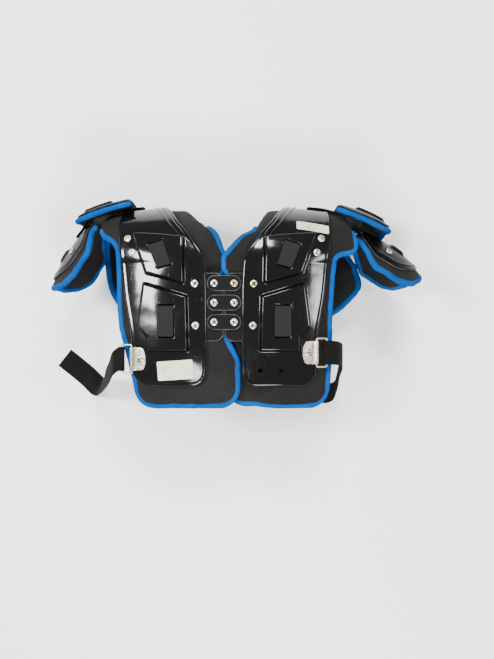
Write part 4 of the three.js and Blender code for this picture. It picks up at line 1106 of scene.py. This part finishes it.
def smooth_line(points, count):
    """A centripetal Catmull-Rom curve: through each span a cubic whose end slopes come from the neighbours,
    weighted by the square roots of the distances."""
    points = np.asarray(points, float)
    ends = np.concatenate([[2 * points[0] - points[1]], points, [2 * points[-1] - points[-2]]])
    place = np.linspace(0, len(points) - 1, count + 1)
    k = np.minimum(place.astype(int), len(points) - 2)
    t = (place - k)[:, None]
    p0, p1, p2, p3 = ends[k], ends[k + 1], ends[k + 2], ends[k + 3]
    gap = [np.maximum(np.sum((b - a) ** 2, axis=1) ** 0.25, 1e-4)[:, None]
           for a, b in ((p0, p1), (p1, p2), (p2, p3))]
    first = ((p1 - p0) / gap[0] - (p2 - p0) / (gap[0] + gap[1]) + (p2 - p1) / gap[1]) * gap[1]
    second = ((p2 - p1) / gap[1] - (p3 - p1) / (gap[1] + gap[2]) + (p3 - p2) / gap[2]) * gap[1]
    return (p1 + first * t + (3 * (p2 - p1) - 2 * first - second) * t ** 2
            + (2 * (p1 - p2) + first + second) * t ** 3)


def strap(name, node, place, across, width, wall, finish):
    """A ribbon along a line, level across its width, with rounded selvedges and its length along the line."""
    across = unit(across)
    out = unit(np.cross(across, np.gradient(place, axis=0)))
    share, half = selvedge(wall, len(place), 0.88, 13)
    flat = place[:, None] + across[:, None] * (share * width / 2)[None, :, None]
    length = length_along(place)
    piece = shell_mesh(name, flat + out[:, None] * half, flat - out[:, None] * half,
                       np.meshgrid(share * width / 2, length), finish)
    fit(piece, node)


for name, side in sides.items():
    seat, basis = stand_on(body_surface, side * clip_across, clip_run[name], plate_wall / 2)
    loop = ring_wire / 2 + 3 * clearance + strap_wall / 2
    bar = clip_outer + ring_reach
    swing = np.linspace(-np.pi / 2, -1.5 * np.pi, 15)
    round_bar = np.concatenate([
        np.stack([np.linspace(9, 1, 6), np.full(6, -loop)], -1),
        np.stack([loop * np.cos(swing), loop * np.sin(swing)], -1),
        np.array([[2.5, loop], [5, loop]]),
    ])
    local = np.stack([side * (bar + round_bar[:, 0]), 0 * round_bar[:, 0], bar_rise + round_bar[:, 1]], -1)
    looped = seat + local @ basis
    route = np.array(strap_routes[name], float)
    run = route[:, :3] * (plate_breadth, back_length, body_depth) + route[:, 3:4] * (0, 0, 1)
    free = smooth_line(np.concatenate([looped[-1:], run]), 110)
    turn = smooth_line(np.concatenate([[(0, 1, 0)], route[:, 4:]]), 110)
    place = np.concatenate([looped, free[1:]])
    across = np.concatenate([np.repeat([[0.0, 1.0, 0.0]], len(looped), 0), turn[1:]])
    strap(f"elastic_strap_{name}", f"strap_{name}", place, across, strap_width, strap_wall,
          elastic)


# Flap webbing. A 38 mm webbing comes off the shell on the shoulder, goes under the top flap and ends on the
# arm flap.
hinge_strap_width = 38.0
for name, side in sides.items():
    lift = plate_wall / 2 + 3 * clearance + web_wall / 2
    spots = np.array([0.80, 0.88, 0.9588]) * plate_breadth * side
    on_plate = body_surface(spots, arch_run / 2) + normal_of(body_surface, spots, arch_run / 2) * lift
    top_flap = flap_surface(flaps["epaulet"], name, side)
    arm_flap = flap_surface(flaps["arm_flap"], name, side)
    sag = flaps["epaulet"][name][3] * (hinge_strap_width / 2 / flaps["epaulet"]["half_width"]) ** 2
    under = -(flap_wall / 2 + flap_seat + flap_pad + 2 * clearance + web_wall / 2 + sag)
    on = flap_wall / 2 + clearance + web_wall / 2
    spots = [(top_flap, -30.0, under - 0.6), (top_flap, -44.0, under), (arm_flap, 1.0, on + flap_wall / 2),
             (arm_flap, -10.0, on), (arm_flap, -28.0, on)]
    hung = [surface(0.0, run) + normal_of(surface, 0.0, run) * height for surface, run, height in spots]
    line = smooth_line(np.concatenate([on_plate, hung]), 60)
    strap(f"hinge_webbing_{name}", f"flap_webbing_{name}", line,
          np.repeat([[0.0, 0.0, -side]], len(line), 0), hinge_strap_width, web_wall, web)


# Stickers. Cream vinyl, a little stained, one on each shell. The real ones carry print, and these are left
# blank.
label_wall = 0.4
labels = {"left": (0.447, -0.871, 56.0, 30.0, 4.0), "right": (0.824, 0.349, 52.0, 18.0, -2.0)}
paper = Finish("cream_sticker", Roughness=0.42, Specular_IOR_Level=0.5)
paper_stain = paper.blend(paper.patches(0.45, 0.72, 55.0, 5.0, 0.6), (0.66, 0.61, 0.48), (0.50, 0.45, 0.33))
paper_speck = paper.patches(0.68, 0.74, 420.0, 2.0)
paper.lay("Base Color", paper.blend(paper_speck * 0.6, paper_stain, (0.15, 0.14, 0.11)))
paper.lay("Normal", paper.bump(paper.noise(90.0, 3.0), 0.0003, 0.5))
label_round = 2.2


def label_ticks(size, count):
    """Places from one edge to the other, closer at both, about the middle."""
    near = np.array([0, 0.2, 0.7])
    return np.concatenate([near, np.linspace(1.6, size - 1.6, count), size - near[::-1]]) - size / 2


for name, side in sides.items():
    across, along, width, height, turn = labels[name]
    turn = np.radians(turn)
    u, v = np.meshgrid(label_ticks(width, 24), label_ticks(height, 14))
    pull_x = np.clip((np.abs(u) - width / 2 + label_round) / label_round, 0, 1)
    pull_y = np.clip((np.abs(v) - height / 2 + label_round) / label_round, 0, 1)
    u = np.sign(u) * (np.abs(u) - label_round * pull_x * pull_y ** 2 * 0.3)
    v = np.sign(v) * (np.abs(v) - label_round * pull_y * pull_x ** 2 * 0.3)
    half = np.full(u.shape, label_wall / 2)
    half[0] = half[-1] = half[:, 0] = half[:, -1] = 0
    middle = plate_wall / 2 + clearance + label_wall / 2
    label = layered(f"blank_sticker_{name}", body_surface,
                    side * across * plate_breadth + u * np.cos(turn) - v * np.sin(turn),
                    along * back_length + u * np.sin(turn) + v * np.cos(turn),
                    middle + half, middle - half, paper, (u, v))
    fit(label, f"sticker_{name}")


# Front closure. The photo doesn't show the front, so a plain plastic piece fills the gap between the two
# front halves of the shells.
closure_half = (closure_high - closure_low) * 1000 / 2
closure_round = 2.0
rounded_plate("closure_plate", (0, -closure_share * front_length), closure_half.x, closure_half.y,
              closure_round, 0.0, plate_wall, "front_closure", gloss, 0.0)
